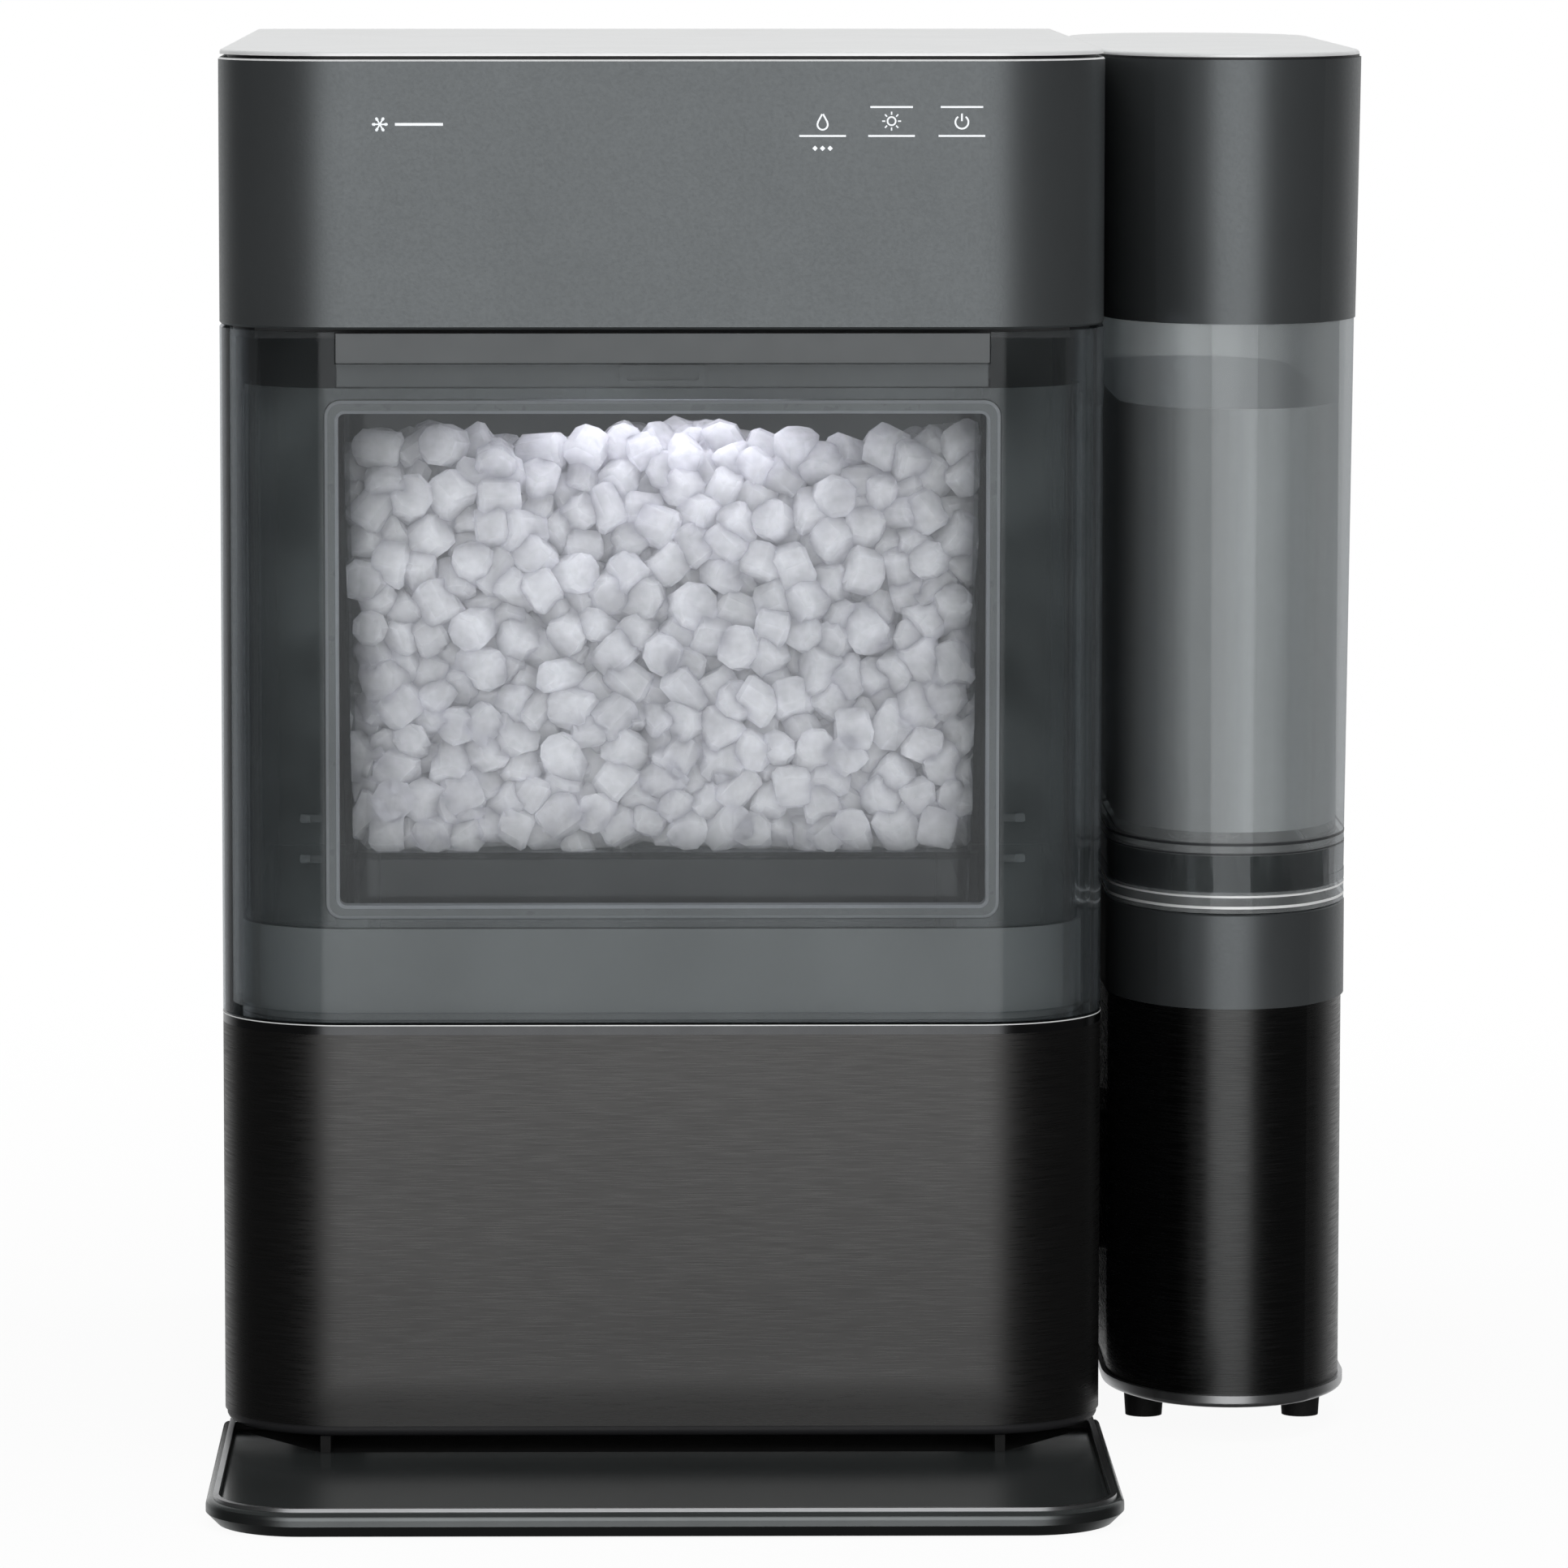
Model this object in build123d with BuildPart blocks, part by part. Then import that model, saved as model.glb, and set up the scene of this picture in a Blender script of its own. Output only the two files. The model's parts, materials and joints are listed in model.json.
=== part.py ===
from build123d import *
import os
from math import acos, atan, cos, degrees, radians, sin, tan

# Countertop nugget ice maker with a docked water tank at its right side.
# Millimetres, +Z up, the front faces -Y, the origin lies at the bottom centre
# of the whole object.

# ---------------------------------------------------------------- body sizes
BODY_W = 262.0          # body width
BODY_D = 338.0          # body depth without the drip tray
FRONT_R = 38.0          # plan radius of the two front corners
BACK_R = 12.0           # plan radius of the two back corners
REACH = 52.0            # how far the front pieces wrap round the corners
SHEET = 1.2             # sheet-metal thickness
MOULD = 2.4             # moulded wall thickness
FOOT_H = 10.3           # height of the rubber feet
BAND_H = 3.2            # visible height of the base pan
PANEL_H = 116.8         # height of the steel front panel
TRIM_H = 3.4            # height of the trim band
BIN_H = 203.2           # height of the bin front
HOUSING_H = 78.6        # height of the control housing
COVER_T = 1.4           # visible thickness of the top cover
SEAM = 0.4              # seam between neighbouring skins
BIN_GAP = 0.8           # shadow gap above the bin front
COVER_GAP = 1.0         # shadow gap under the top cover
SEAT = 0.3              # running clearance at seats and runners

# ---------------------------------------------------------------- drip tray
TRAY_OVER = 1.0         # drip tray wider than the body at each side
TRAY_REACH = 106.5      # how far the tray stands out in front of the body
TRAY_TUCK = 47.0        # how far it reaches under the body
TRAY_H = 8.3            # height of the tray rim
TRAY_FLOOR = 5.0        # height of the dish floor
TRAY_R = 28.0           # plan radius of the tray's front corners

# ---------------------------------------------------------------- side tank
TANK_W = 79.0           # tank width at its head
TANK_L = 300.0          # tank length, front to back
TANK_GAP = 1.8          # gap between body and tank
TANK_SETBACK = 44.0     # tank front behind the body front
NOSE_TIP_R = 32.0       # radius at the tips of the tank's oval plan
NOSE_SIDE_R = 69.0      # radius that leads from the tips to the sides
TANK_WALL = 2.4         # wall of the clear tank
TANK_RIM_H = 3.6        # bright rim at the tank's foot
SLEEVE_TOP = 131.4      # top of the black steel sleeve
COLLAR_TOP = 160.0      # top of the painted collar
FLANGE_H = 9.3          # height of the clear tank's foot flange
TANK_HEAD_H = 78.4      # height of the painted tank head
TANK_HEAD_DROP = 1.2    # its top edge below the housing's
TANK_LID_T = 2.2        # visible thickness of the tank lid

# ---------------------------------------------------------------- placement
TRAY_W = BODY_W + 2 * TRAY_OVER
FRONT = TRAY_REACH - (TRAY_REACH + TANK_SETBACK + TANK_L) / 2
BACK = FRONT + BODY_D
BODY_X = (TRAY_OVER - TANK_GAP - TANK_W) / 2
BODY_Y = FRONT + BODY_D / 2
LEFT = BODY_X - BODY_W / 2
RIGHT = BODY_X + BODY_W / 2
TANK_X = RIGHT + TANK_GAP + TANK_W / 2
TANK_FRONT = FRONT + TANK_SETBACK
TANK_Y = TANK_FRONT + TANK_L / 2

# ---------------------------------------------------------------- levels
PANEL_LOW = FOOT_H + BAND_H
TRIM_LOW = PANEL_LOW + PANEL_H
TRIM_TOP = TRIM_LOW + TRIM_H
BIN_LOW = TRIM_TOP + SEAT
BIN_TOP = BIN_LOW + BIN_H
HOUSING_LOW = BIN_TOP + BIN_GAP
HOUSING_TOP = HOUSING_LOW + HOUSING_H
COVER_LOW = HOUSING_TOP + COVER_GAP
TANK_HEAD_TOP = HOUSING_TOP - TANK_HEAD_DROP
TANK_HEAD_LOW = TANK_HEAD_TOP - TANK_HEAD_H
TANK_TOP = TANK_HEAD_TOP + TANK_LID_T


def body_outline(inset=0.0):
    """Outline of the body on the ground plane, moved in by inset all round."""
    with BuildSketch() as outline:
        with Locations((BODY_X, BODY_Y)):
            Rectangle(BODY_W - 2 * inset, BODY_D - 2 * inset)
        ends = outline.vertices().group_by(Axis.Y)
        fillet(ends[0], FRONT_R - inset)
        fillet(ends[-1], max(BACK_R - inset, 1.0))
    return outline.sketch


def body_plan(level, inset=0.0):
    """The body outline at a level."""
    with BuildSketch(Plane.XY.offset(level)) as plan:
        add(body_outline(inset))
    return plan.sketch


def ring_plan(level, inset, wall):
    """Closed wall that follows the body outline."""
    with BuildSketch(Plane.XY.offset(level)) as plan:
        add(body_outline(inset))
        add(body_outline(inset + wall), mode=Mode.SUBTRACT)
    return plan.sketch


def front_plan(level, inset, wall, reach=REACH):
    """U-shaped wall round the front, ending reach behind the front face."""
    with BuildSketch(Plane.XY.offset(level)) as plan:
        add(body_outline(inset))
        add(body_outline(inset + wall), mode=Mode.SUBTRACT)
        with Locations((BODY_X, FRONT + reach)):
            Rectangle(BODY_W, BODY_D, align=(Align.CENTER, Align.MIN), mode=Mode.SUBTRACT)
    return plan.sketch


def deck_plan(level, inset, start, end):
    """Slice of the body outline between two distances from the front."""
    with BuildSketch(Plane.XY.offset(level)) as plan:
        add(body_outline(inset))
        with Locations((BODY_X, FRONT + start)):
            Rectangle(BODY_W, end - start, align=(Align.CENTER, Align.MIN), mode=Mode.INTERSECT)
    return plan.sketch


def box_plan(level, x0, x1, y0, y1, radius=0.0):
    """Rectangle measured from the body's middle and front, with round corners."""
    with BuildSketch(Plane.XY.offset(level)) as plan:
        with Locations((BODY_X + (x0 + x1) / 2, FRONT + (y0 + y1) / 2)):
            Rectangle(x1 - x0, y1 - y0)
        if radius > 0:
            fillet(plan.vertices(), radius)
    return plan.sketch


def tank_plan(level, inset=0.0):
    """Long oval with straight sides and noses of three arcs each, moved in by inset."""
    half_w = TANK_W / 2 - inset
    across = NOSE_SIDE_R - TANK_W / 2
    apart = NOSE_SIDE_R - NOSE_TIP_R
    turn = degrees(acos(across / apart))
    tip = TANK_L / 2 - NOSE_TIP_R
    start = tip - apart * sin(radians(turn))
    with BuildSketch(Plane((TANK_X, TANK_Y, level))) as plan:
        with BuildLine():
            for way, angle in ((1, 0), (-1, 180)):
                CenterArc((-way * across, way * start), NOSE_SIDE_R - inset, angle, turn)
                CenterArc((0, way * tip), NOSE_TIP_R - inset, angle + turn, 180 - 2 * turn)
                CenterArc((way * across, way * start), NOSE_SIDE_R - inset, angle + 180 - turn, turn)
                Line((-way * half_w, way * start), (-way * half_w, -way * start))
        make_face()
    return plan.sketch


def at_front(x, z, depth=0.0):
    """Plane on the body front, looking out, at x from the body's middle."""
    return Plane((BODY_X + x, FRONT + depth, z), x_dir=(1, 0, 0), z_dir=(0, -1, 0))


def slot_field(plane, across, rows, step_x, step_z, length, width):
    """Field of round-ended slots on a plane."""
    with BuildSketch(plane) as field:
        with GridLocations(step_x, step_z, across, rows):
            SlotOverall(length, width)
    return field.sketch


# ================================================================ body shell
PAN_INSET = 0.6         # base pan behind the skins
PAN_EDGE = 2.0          # rounding of its lower edge
PAN_UPSTAND = 10.0      # wall of the pan inside the skins
PAN_BACK = 30.0         # the wall stops this far in front of the back
RIB_T = 2.4             # base pan ribs
RIB_H = 5.0
PAN_TOP = PANEL_LOW

with BuildPart() as base_pan:
    extrude(body_plan(FOOT_H, PAN_INSET), amount=BAND_H)
    fillet(base_pan.edges().group_by(Axis.Z)[0], PAN_EDGE)
    extrude(deck_plan(PAN_TOP, SHEET + SEAT, 0.0, BODY_D - PAN_BACK), amount=PAN_UPSTAND)
    extrude(deck_plan(PAN_TOP, SHEET + SEAT + MOULD, 0.0, BODY_D), amount=PAN_UPSTAND,
            mode=Mode.SUBTRACT)
    with BuildSketch(Plane.XY.offset(PAN_TOP)):
        with Locations((BODY_X, FRONT + 34.0), (BODY_X, FRONT + 48.0)):
            Rectangle(BODY_W - 2 * (SHEET + SEAT + MOULD) + 1.0, RIB_T)
    extrude(amount=RIB_H)
    extrude(slot_field(Plane((BODY_X - 60.0, FRONT + 118.0, FOOT_H)), 2, 6, 52.0, 11.0, 44.0, 4.0),
            amount=BAND_H, mode=Mode.SUBTRACT)

FOOT_R = 12.0           # rubber foot
FOOT_TAPER = 1.6
FRONT_FOOT_Y = 66.0     # front feet stand behind the tray
BACK_FOOT_Y = BODY_D - 32.0
FOOT_X = BODY_W / 2 - 30.0

with BuildPart() as body_feet:
    with BuildSketch() as foot_bottoms:
        for foot_y in (FRONT_FOOT_Y, BACK_FOOT_Y):
            with Locations((BODY_X - FOOT_X, FRONT + foot_y), (BODY_X + FOOT_X, FRONT + foot_y)):
                Circle(FOOT_R - FOOT_TAPER)
    extrude(amount=FOOT_H, taper=-8.0)

with BuildPart() as lower_front_panel:
    extrude(front_plan(PANEL_LOW, 0.0, SHEET), amount=PANEL_H)
    extrude(front_plan(TRIM_LOW - SHEET, 0.0, 9.0), amount=SHEET)

TRIM_DEPTH = 11.0       # how far the trim band reaches inwards
with BuildPart() as trim_band:
    extrude(front_plan(TRIM_LOW, 0.0, TRIM_DEPTH), amount=TRIM_H)
    top_edges = trim_band.edges().group_by(Axis.Z)[-1]
    chamfer(top_edges.sort_by(Axis.Y)[0], 0.5)

# ---------------------------------------------------------------- side panels
RETURN_W = 15.0         # flange of each side panel across the back
LOUVRE_L = 30.0
LOUVRE_W = 3.2
LOUVRE_ROWS = 14
LOUVRE_STEP = 7.0
LOUVRE_LEAD = 98.0      # middle of the field behind the front seam
LOUVRE_Y = REACH + LOUVRE_LEAD
LOUVRE_Z = PANEL_LOW + PANEL_H / 2


def side_plan(level, side):
    """Skin of one side from the front seam round the back corner."""
    with BuildSketch(Plane.XY.offset(level)) as plan:
        add(body_outline())
        add(body_outline(SHEET), mode=Mode.SUBTRACT)
        with Locations((BODY_X, FRONT + REACH + SEAM)):
            Rectangle(BODY_W, BODY_D, align=(Align.CENTER, Align.MAX), mode=Mode.SUBTRACT)
        with Locations((BODY_X - side * BODY_W / 2, BACK - BODY_D / 2)):
            Rectangle(2 * (BODY_W - RETURN_W), BODY_D + 2, mode=Mode.SUBTRACT)
    return plan.sketch


COUPLER_Z = 62.0        # height of the water coupling between body and tank
COUPLER_R = 6.0         # its outer radius
COUPLER_Y = TANK_SETBACK + TANK_L / 2
HOLE_EASE = 0.4         # radial clearance of tubes in sheet metal
SCREW_R = 1.6           # cover screws
SCREW_HEAD_R = 3.2
SCREW_RISE = 26.5
SCREW_DROP = 17.2
SCREW_LOW = PANEL_LOW + SCREW_RISE
SCREW_HIGH = BIN_TOP - SCREW_DROP
SCREW_ZS = (SCREW_LOW, (SCREW_LOW + SCREW_HIGH) / 2, SCREW_HIGH)
SCREW_X = BODY_W / 2 - RETURN_W / 2 - 2.0
SCREW_TAPER = degrees(atan((SCREW_HEAD_R - SCREW_R) / SHEET))
BACK_PLANE = Plane((BODY_X, BACK, 0), x_dir=(-1, 0, 0), z_dir=(0, 1, 0))


def side_panel(side):
    """Bent sheet with a louvre field, side -1 at the left and 1 at the right."""
    face_x = BODY_X + side * BODY_W / 2
    with BuildPart() as panel:
        extrude(side_plan(PANEL_LOW, side), amount=BIN_TOP - PANEL_LOW)
        louvres = Plane((face_x, FRONT + LOUVRE_Y, LOUVRE_Z), x_dir=(0, 1, 0), z_dir=(side, 0, 0))
        extrude(slot_field(louvres, 3, LOUVRE_ROWS, LOUVRE_L + 8.0, LOUVRE_STEP, LOUVRE_L, LOUVRE_W),
                amount=-2 * SHEET, mode=Mode.SUBTRACT)
        if side > 0:
            with BuildSketch(Plane((face_x, FRONT + COUPLER_Y, COUPLER_Z), x_dir=(0, 1, 0),
                                   z_dir=(1, 0, 0))):
                Circle(COUPLER_R + HOLE_EASE)
            extrude(amount=-2 * SHEET, mode=Mode.SUBTRACT)
        with BuildSketch(BACK_PLANE):
            with Locations(*[(-side * SCREW_X, z) for z in SCREW_ZS]):
                Circle(SCREW_HEAD_R + HOLE_EASE)
        extrude(amount=-SHEET, taper=SCREW_TAPER, mode=Mode.SUBTRACT)
    return panel


side_panel_left = side_panel(-1)
side_panel_right = side_panel(1)

# ---------------------------------------------------------------- rear cover
BACK_LAP = 11.0         # flange of the rear cover behind the side returns
RECESS_ASIDE = 57.0     # middle of the service recess from the body's side
RECESS_X = BODY_W / 2 - RECESS_ASIDE
RECESS_Z = 42.0
RECESS_W = 74.0
RECESS_H = 34.0
RECESS_DEPTH = 13.0

with BuildPart() as rear_cover:
    with BuildSketch(BACK_PLANE) as outer_leaf:
        with Locations((0, (PANEL_LOW + BIN_TOP) / 2)):
            Rectangle(BODY_W - 2 * (RETURN_W + SEAM), BIN_TOP - PANEL_LOW)
    extrude(amount=-2 * SHEET)
    with BuildSketch(BACK_PLANE.offset(-SHEET)) as inner_leaf:
        with Locations((0, (PANEL_LOW + BIN_TOP) / 2)):
            Rectangle(BODY_W - 2 * (RETURN_W - BACK_LAP), BIN_TOP - PANEL_LOW)
    extrude(amount=-SHEET)
    extrude(slot_field(Plane((BODY_X + 44.0, BACK, 236.0), x_dir=(-1, 0, 0), z_dir=(0, 1, 0)),
                       2, 12, 58.0, 8.0, 50.0, LOUVRE_W), amount=-3 * SHEET, mode=Mode.SUBTRACT)
    extrude(slot_field(Plane((BODY_X - 68.0, BACK, 74.0), x_dir=(-1, 0, 0), z_dir=(0, 1, 0)),
                       2, 12, 42.0, 8.0, 34.0, LOUVRE_W), amount=-3 * SHEET, mode=Mode.SUBTRACT)
    with BuildSketch(BACK_PLANE):
        with Locations((-RECESS_X, RECESS_Z)):
            RectangleRounded(RECESS_W, RECESS_H, 4.0)
        with Locations(*[(side * SCREW_X, z) for side in (-1, 1) for z in SCREW_ZS]):
            Circle(SCREW_R + HOLE_EASE)
    extrude(amount=-3 * SHEET, mode=Mode.SUBTRACT)

SCREW_L = 10.0
with BuildPart() as cover_screws:
    with BuildSketch(BACK_PLANE):
        with Locations(*[(side * SCREW_X, z) for side in (-1, 1) for z in SCREW_ZS]):
            Circle(SCREW_HEAD_R)
    extrude(amount=-SHEET, taper=SCREW_TAPER)
    with BuildSketch(BACK_PLANE.offset(-SHEET)):
        with Locations(*[(side * SCREW_X, z) for side in (-1, 1) for z in SCREW_ZS]):
            Circle(SCREW_R)
    extrude(amount=-SCREW_L)

PORT_R = 7.0            # drain caps
GLAND_R = 8.0           # bush where the mains lead leaves
with BuildPart() as service_recess:
    with BuildSketch(BACK_PLANE) as recess_mouth:
        with Locations((-RECESS_X, RECESS_Z)):
            RectangleRounded(RECESS_W - 2 * SEAT, RECESS_H - 2 * SEAT, 4.0 - SEAT)
    extrude(amount=-RECESS_DEPTH - 2.0)
    with BuildSketch(BACK_PLANE) as recess_hollow:
        with Locations((-RECESS_X, RECESS_Z)):
            RectangleRounded(RECESS_W - 2 * SEAT - 3.6, RECESS_H - 2 * SEAT - 3.6, 2.2)
    extrude(amount=-RECESS_DEPTH, mode=Mode.SUBTRACT)
    with BuildSketch(BACK_PLANE):
        with Locations((-RECESS_X - 22.0, RECESS_Z), (-RECESS_X, RECESS_Z)):
            Circle(PORT_R - 1.5 + HOLE_EASE)
        with Locations((-RECESS_X + 22.0, RECESS_Z)):
            Circle(GLAND_R - 2.0 + HOLE_EASE)
    extrude(amount=-RECESS_DEPTH - 3.0, mode=Mode.SUBTRACT)

with BuildPart() as drain_caps:
    with BuildSketch(BACK_PLANE.offset(-RECESS_DEPTH)):
        with Locations((-RECESS_X - 22.0, RECESS_Z), (-RECESS_X, RECESS_Z)):
            Circle(PORT_R)
    extrude(amount=4.0)
    with BuildSketch(BACK_PLANE.offset(-RECESS_DEPTH)):
        with Locations((-RECESS_X - 22.0, RECESS_Z), (-RECESS_X, RECESS_Z)):
            Circle(PORT_R - 1.5)
    extrude(amount=-7.0)
    with BuildSketch(BACK_PLANE.offset(4.0 - RECESS_DEPTH)):
        with Locations((-RECESS_X - 22.0, RECESS_Z), (-RECESS_X, RECESS_Z)):
            SlotOverall(9.0, 3.0, rotation=90)
    extrude(amount=5.0)

with BuildPart() as mains_gland:
    with BuildSketch(BACK_PLANE.offset(-RECESS_DEPTH)):
        with Locations((-RECESS_X + 22.0, RECESS_Z)):
            Circle(GLAND_R)
    extrude(amount=3.0)
    with BuildSketch(BACK_PLANE.offset(3.0 - RECESS_DEPTH)):
        with Locations((-RECESS_X + 22.0, RECESS_Z)):
            Circle(GLAND_R - 1.5)
    extrude(amount=RECESS_DEPTH - 3.0, taper=12.0)
    with BuildSketch(BACK_PLANE.offset(-RECESS_DEPTH)):
        with Locations((-RECESS_X + 22.0, RECESS_Z)):
            Circle(GLAND_R - 2.0)
    extrude(amount=-8.0)
    with BuildSketch(BACK_PLANE):
        with Locations((-RECESS_X + 22.0, RECESS_Z)):
            Circle(3.4)
    extrude(amount=-RECESS_DEPTH - 9.0, mode=Mode.SUBTRACT)

# ---------------------------------------------------------------- control housing and cover
LEDGE_T = 1.6           # ledge that carries the cover
LEDGE_DROP = 4.6        # ledge top below the housing's edge
LEDGE_W = 4.0
FOOT_FLANGE_W = 10.0    # inner flange at the housing's foot
FOOT_FLANGE_T = 2.2
with BuildPart() as control_housing:
    extrude(ring_plan(HOUSING_LOW, 0.0, MOULD), amount=HOUSING_H)
    chamfer(control_housing.faces().sort_by(Axis.Z)[-1].outer_wire().edges(), 0.5)
    chamfer(control_housing.faces().sort_by(Axis.Z)[0].outer_wire().edges(), 0.7)
    extrude(ring_plan(HOUSING_LOW, MOULD, FOOT_FLANGE_W), amount=FOOT_FLANGE_T)
    extrude(ring_plan(HOUSING_TOP - LEDGE_DROP - LEDGE_T, MOULD, LEDGE_W), amount=LEDGE_T)

COVER_INSET = 0.5
SKIRT_T = 2.2
with BuildPart() as top_cover:
    extrude(body_plan(COVER_LOW, COVER_INSET), amount=COVER_T)
    fillet(top_cover.edges().group_by(Axis.Z)[-1], 0.9)
    extrude(ring_plan(HOUSING_TOP - LEDGE_DROP, MOULD + SEAT, SKIRT_T),
            amount=COVER_LOW - HOUSING_TOP + LEDGE_DROP)

# ================================================================ bin bay
MACHINE_ROOM = 106.0    # depth of the machinery room behind the drawer
DRAWER_D = BODY_D - MACHINE_ROOM
BAY_SPARE = 18.0        # room behind the drawer
BAY_BACK = DRAWER_D + BAY_SPARE
BAY_EASE = 2.2          # bay wall behind the side skin
BAY_WALL = 2.0
BAY_FLOOR_T = 2.6
BAY_HALF = BODY_W / 2 - BAY_EASE
BAY_FLOOR_TOP = TRIM_TOP
CEILING_T = 3.4
CEILING_LOW = HOUSING_LOW - CEILING_T
CEILING_FRONT = 17.0    # start of the ceiling behind the body front
BAY_START = REACH + 1.6  # start of the bay's side walls

with BuildPart() as bin_bay:
    extrude(deck_plan(BAY_FLOOR_TOP - BAY_FLOOR_T, TRIM_DEPTH + SEAT, TRIM_DEPTH + SEAT, BAY_START),
            amount=BAY_FLOOR_T)
    extrude(box_plan(BAY_FLOOR_TOP - BAY_FLOOR_T, -BAY_HALF, BAY_HALF, BAY_START, BAY_BACK),
            amount=BAY_FLOOR_T)
    extrude(box_plan(BAY_FLOOR_TOP, -BAY_HALF, BAY_HALF, BAY_START, BAY_BACK),
            amount=CEILING_LOW - BAY_FLOOR_TOP)
    extrude(box_plan(BAY_FLOOR_TOP, BAY_WALL - BAY_HALF, BAY_HALF - BAY_WALL, 0.0,
                     BAY_BACK - BAY_WALL),
            amount=CEILING_LOW - BAY_FLOOR_TOP, mode=Mode.SUBTRACT)

DROP_HALF = 32.0        # ice drop in the ceiling
DROP_L = 56.0
DROP_ROOM = 26.0
DROP_END = DRAWER_D - DROP_ROOM
DROP_START = DROP_END - DROP_L
LAMP_Y = 31.0           # lamp behind the body front, above the ice
LAMP_HALF = 20.0
LAMP_D = 16.0
with BuildPart() as bay_ceiling:
    extrude(deck_plan(CEILING_LOW, 4.0, CEILING_FRONT, BAY_BACK), amount=CEILING_T)
    extrude(box_plan(CEILING_LOW, -DROP_HALF, DROP_HALF, DROP_START, DROP_END, 8.0),
            amount=CEILING_T, mode=Mode.SUBTRACT)
    extrude(box_plan(CEILING_LOW, -LAMP_HALF - SEAT, LAMP_HALF + SEAT, LAMP_Y - LAMP_D / 2 - SEAT,
                     LAMP_Y + LAMP_D / 2 + SEAT, 7.0), amount=CEILING_T, mode=Mode.SUBTRACT)

with BuildPart() as bay_lamp:
    extrude(box_plan(CEILING_LOW, -LAMP_HALF, LAMP_HALF, LAMP_Y - LAMP_D / 2, LAMP_Y + LAMP_D / 2, 6.7),
            amount=CEILING_T)
    extrude(box_plan(HOUSING_LOW, -LAMP_HALF - 3.0, LAMP_HALF + 3.0, LAMP_Y - LAMP_D / 2 - 3.0,
                     LAMP_Y + LAMP_D / 2 + 3.0, 6.0), amount=4.0)

# ---------------------------------------------------------------- chassis
DECK_T = 1.5            # sheet deck under the bay
DECK_TOP = BAY_FLOOR_TOP - BAY_FLOOR_T
DECK_LOW = DECK_TOP - DECK_T
SKIN_GAP = SHEET + SEAT
PAN_WALL = SKIN_GAP + MOULD
GUSSET_HALF = BODY_W / 2 - PAN_WALL - SEAT
DECK_START = REACH + 3.0
DECK_END = BODY_D - 2 * SHEET - SEAT
GUSSET_SHORT = 90.0     # the gussets stop this far in front of the back
GUSSET_END = BODY_D - GUSSET_SHORT
GUSSET_RIM = 20.0       # frame left round the gussets' windows
BARREL_ROOM = 44.5      # ice barrel axis in front of the back
BARREL_Y = BODY_D - BARREL_ROOM
GEARBOX_HALF = 31.0
HOSE_R = 4.0            # water hoses
HOSE_ASIDE = 18.0       # rising hose beside and before the gearbox
HOSE_BEFORE = 24.5
HOSE_X = GEARBOX_HALF + HOSE_ASIDE
HOSE_Y = BARREL_Y - HOSE_BEFORE
COMP_SHARE = 0.164      # compressor can's radius in the body's width
COMP_SIDE = 10.0
COMP_BEFORE = 18.5
COMP_R = COMP_SHARE * BODY_W
COMP_X = COMP_R + COMP_SIDE - BODY_W / 2
COMP_Y = BARREL_Y - COMP_BEFORE
SUCTION_ASIDE = 18.0
SUCTION_X = COMP_X + SUCTION_ASIDE
with BuildPart() as chassis:
    extrude(box_plan(DECK_LOW, -GUSSET_HALF, GUSSET_HALF, DECK_START, DECK_END), amount=DECK_T)
    extrude(box_plan(PAN_TOP, -GUSSET_HALF, GUSSET_HALF, DECK_START, GUSSET_END),
            amount=DECK_LOW - PAN_TOP)
    extrude(box_plan(PAN_TOP, DECK_T - GUSSET_HALF, GUSSET_HALF - DECK_T, 0.0, BODY_D),
            amount=DECK_LOW - PAN_TOP, mode=Mode.SUBTRACT)
    with BuildSketch(Plane((LEFT, FRONT, 0), x_dir=(0, 1, 0), z_dir=(-1, 0, 0))) as window:
        with Locations(((DECK_START + GUSSET_END) / 2, -(PAN_TOP + DECK_LOW) / 2)):
            RectangleRounded(GUSSET_END - DECK_START - 2 * GUSSET_RIM,
                             DECK_LOW - PAN_TOP - 2 * GUSSET_RIM, 10.0)
    extrude(amount=-BODY_W, mode=Mode.SUBTRACT)
    extrude(box_plan(DECK_TOP, -GUSSET_HALF, GUSSET_HALF, BAY_BACK, BAY_BACK + DECK_T),
            amount=HOUSING_LOW - DECK_TOP)
    extrude(box_plan(DECK_LOW, -GEARBOX_HALF - 1.0, GEARBOX_HALF + 1.0,
                     BARREL_Y - GEARBOX_HALF - 1.0, BARREL_Y + GEARBOX_HALF + 1.0, 4.0),
            amount=DECK_T, mode=Mode.SUBTRACT)
    with BuildSketch(Plane.XY.offset(DECK_LOW)):
        with Locations((BODY_X + HOSE_X, FRONT + HOSE_Y), (BODY_X + SUCTION_X, FRONT + BARREL_Y)):
            Circle(HOSE_R + HOLE_EASE)
    extrude(amount=DECK_T, mode=Mode.SUBTRACT)

# ================================================================ ice bin (drawer)
BIN_WALL = 3.0          # smoked bin front
BIN_EDGE = 1.0
WINDOW_ASIDE = 31.6     # window gasket from the body's sides
WINDOW_HALF = BODY_W / 2 - WINDOW_ASIDE
BAR_SHORT = 3.8         # grab bar shorter than the window at each end
BAR_HALF = WINDOW_HALF - BAR_SHORT
BAR_H = 9.0
WINDOW_SILL = 29.8
WINDOW_HEAD = 20.0
WINDOW_LOW = BIN_LOW + WINDOW_SILL
WINDOW_HIGH = BIN_TOP - WINDOW_HEAD
WINDOW_R = 5.0
GASKET_W = 4.2
SKIN_INSET = 7.0        # clear inner skin behind the smoked front
SKIN_T = 2.0
SKIN_UNDER = 2.5
SKIN_OVER = 3.2
SKIN_LOW = WINDOW_LOW - SKIN_UNDER
SKIN_HIGH = WINDOW_HIGH + SKIN_OVER
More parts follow.
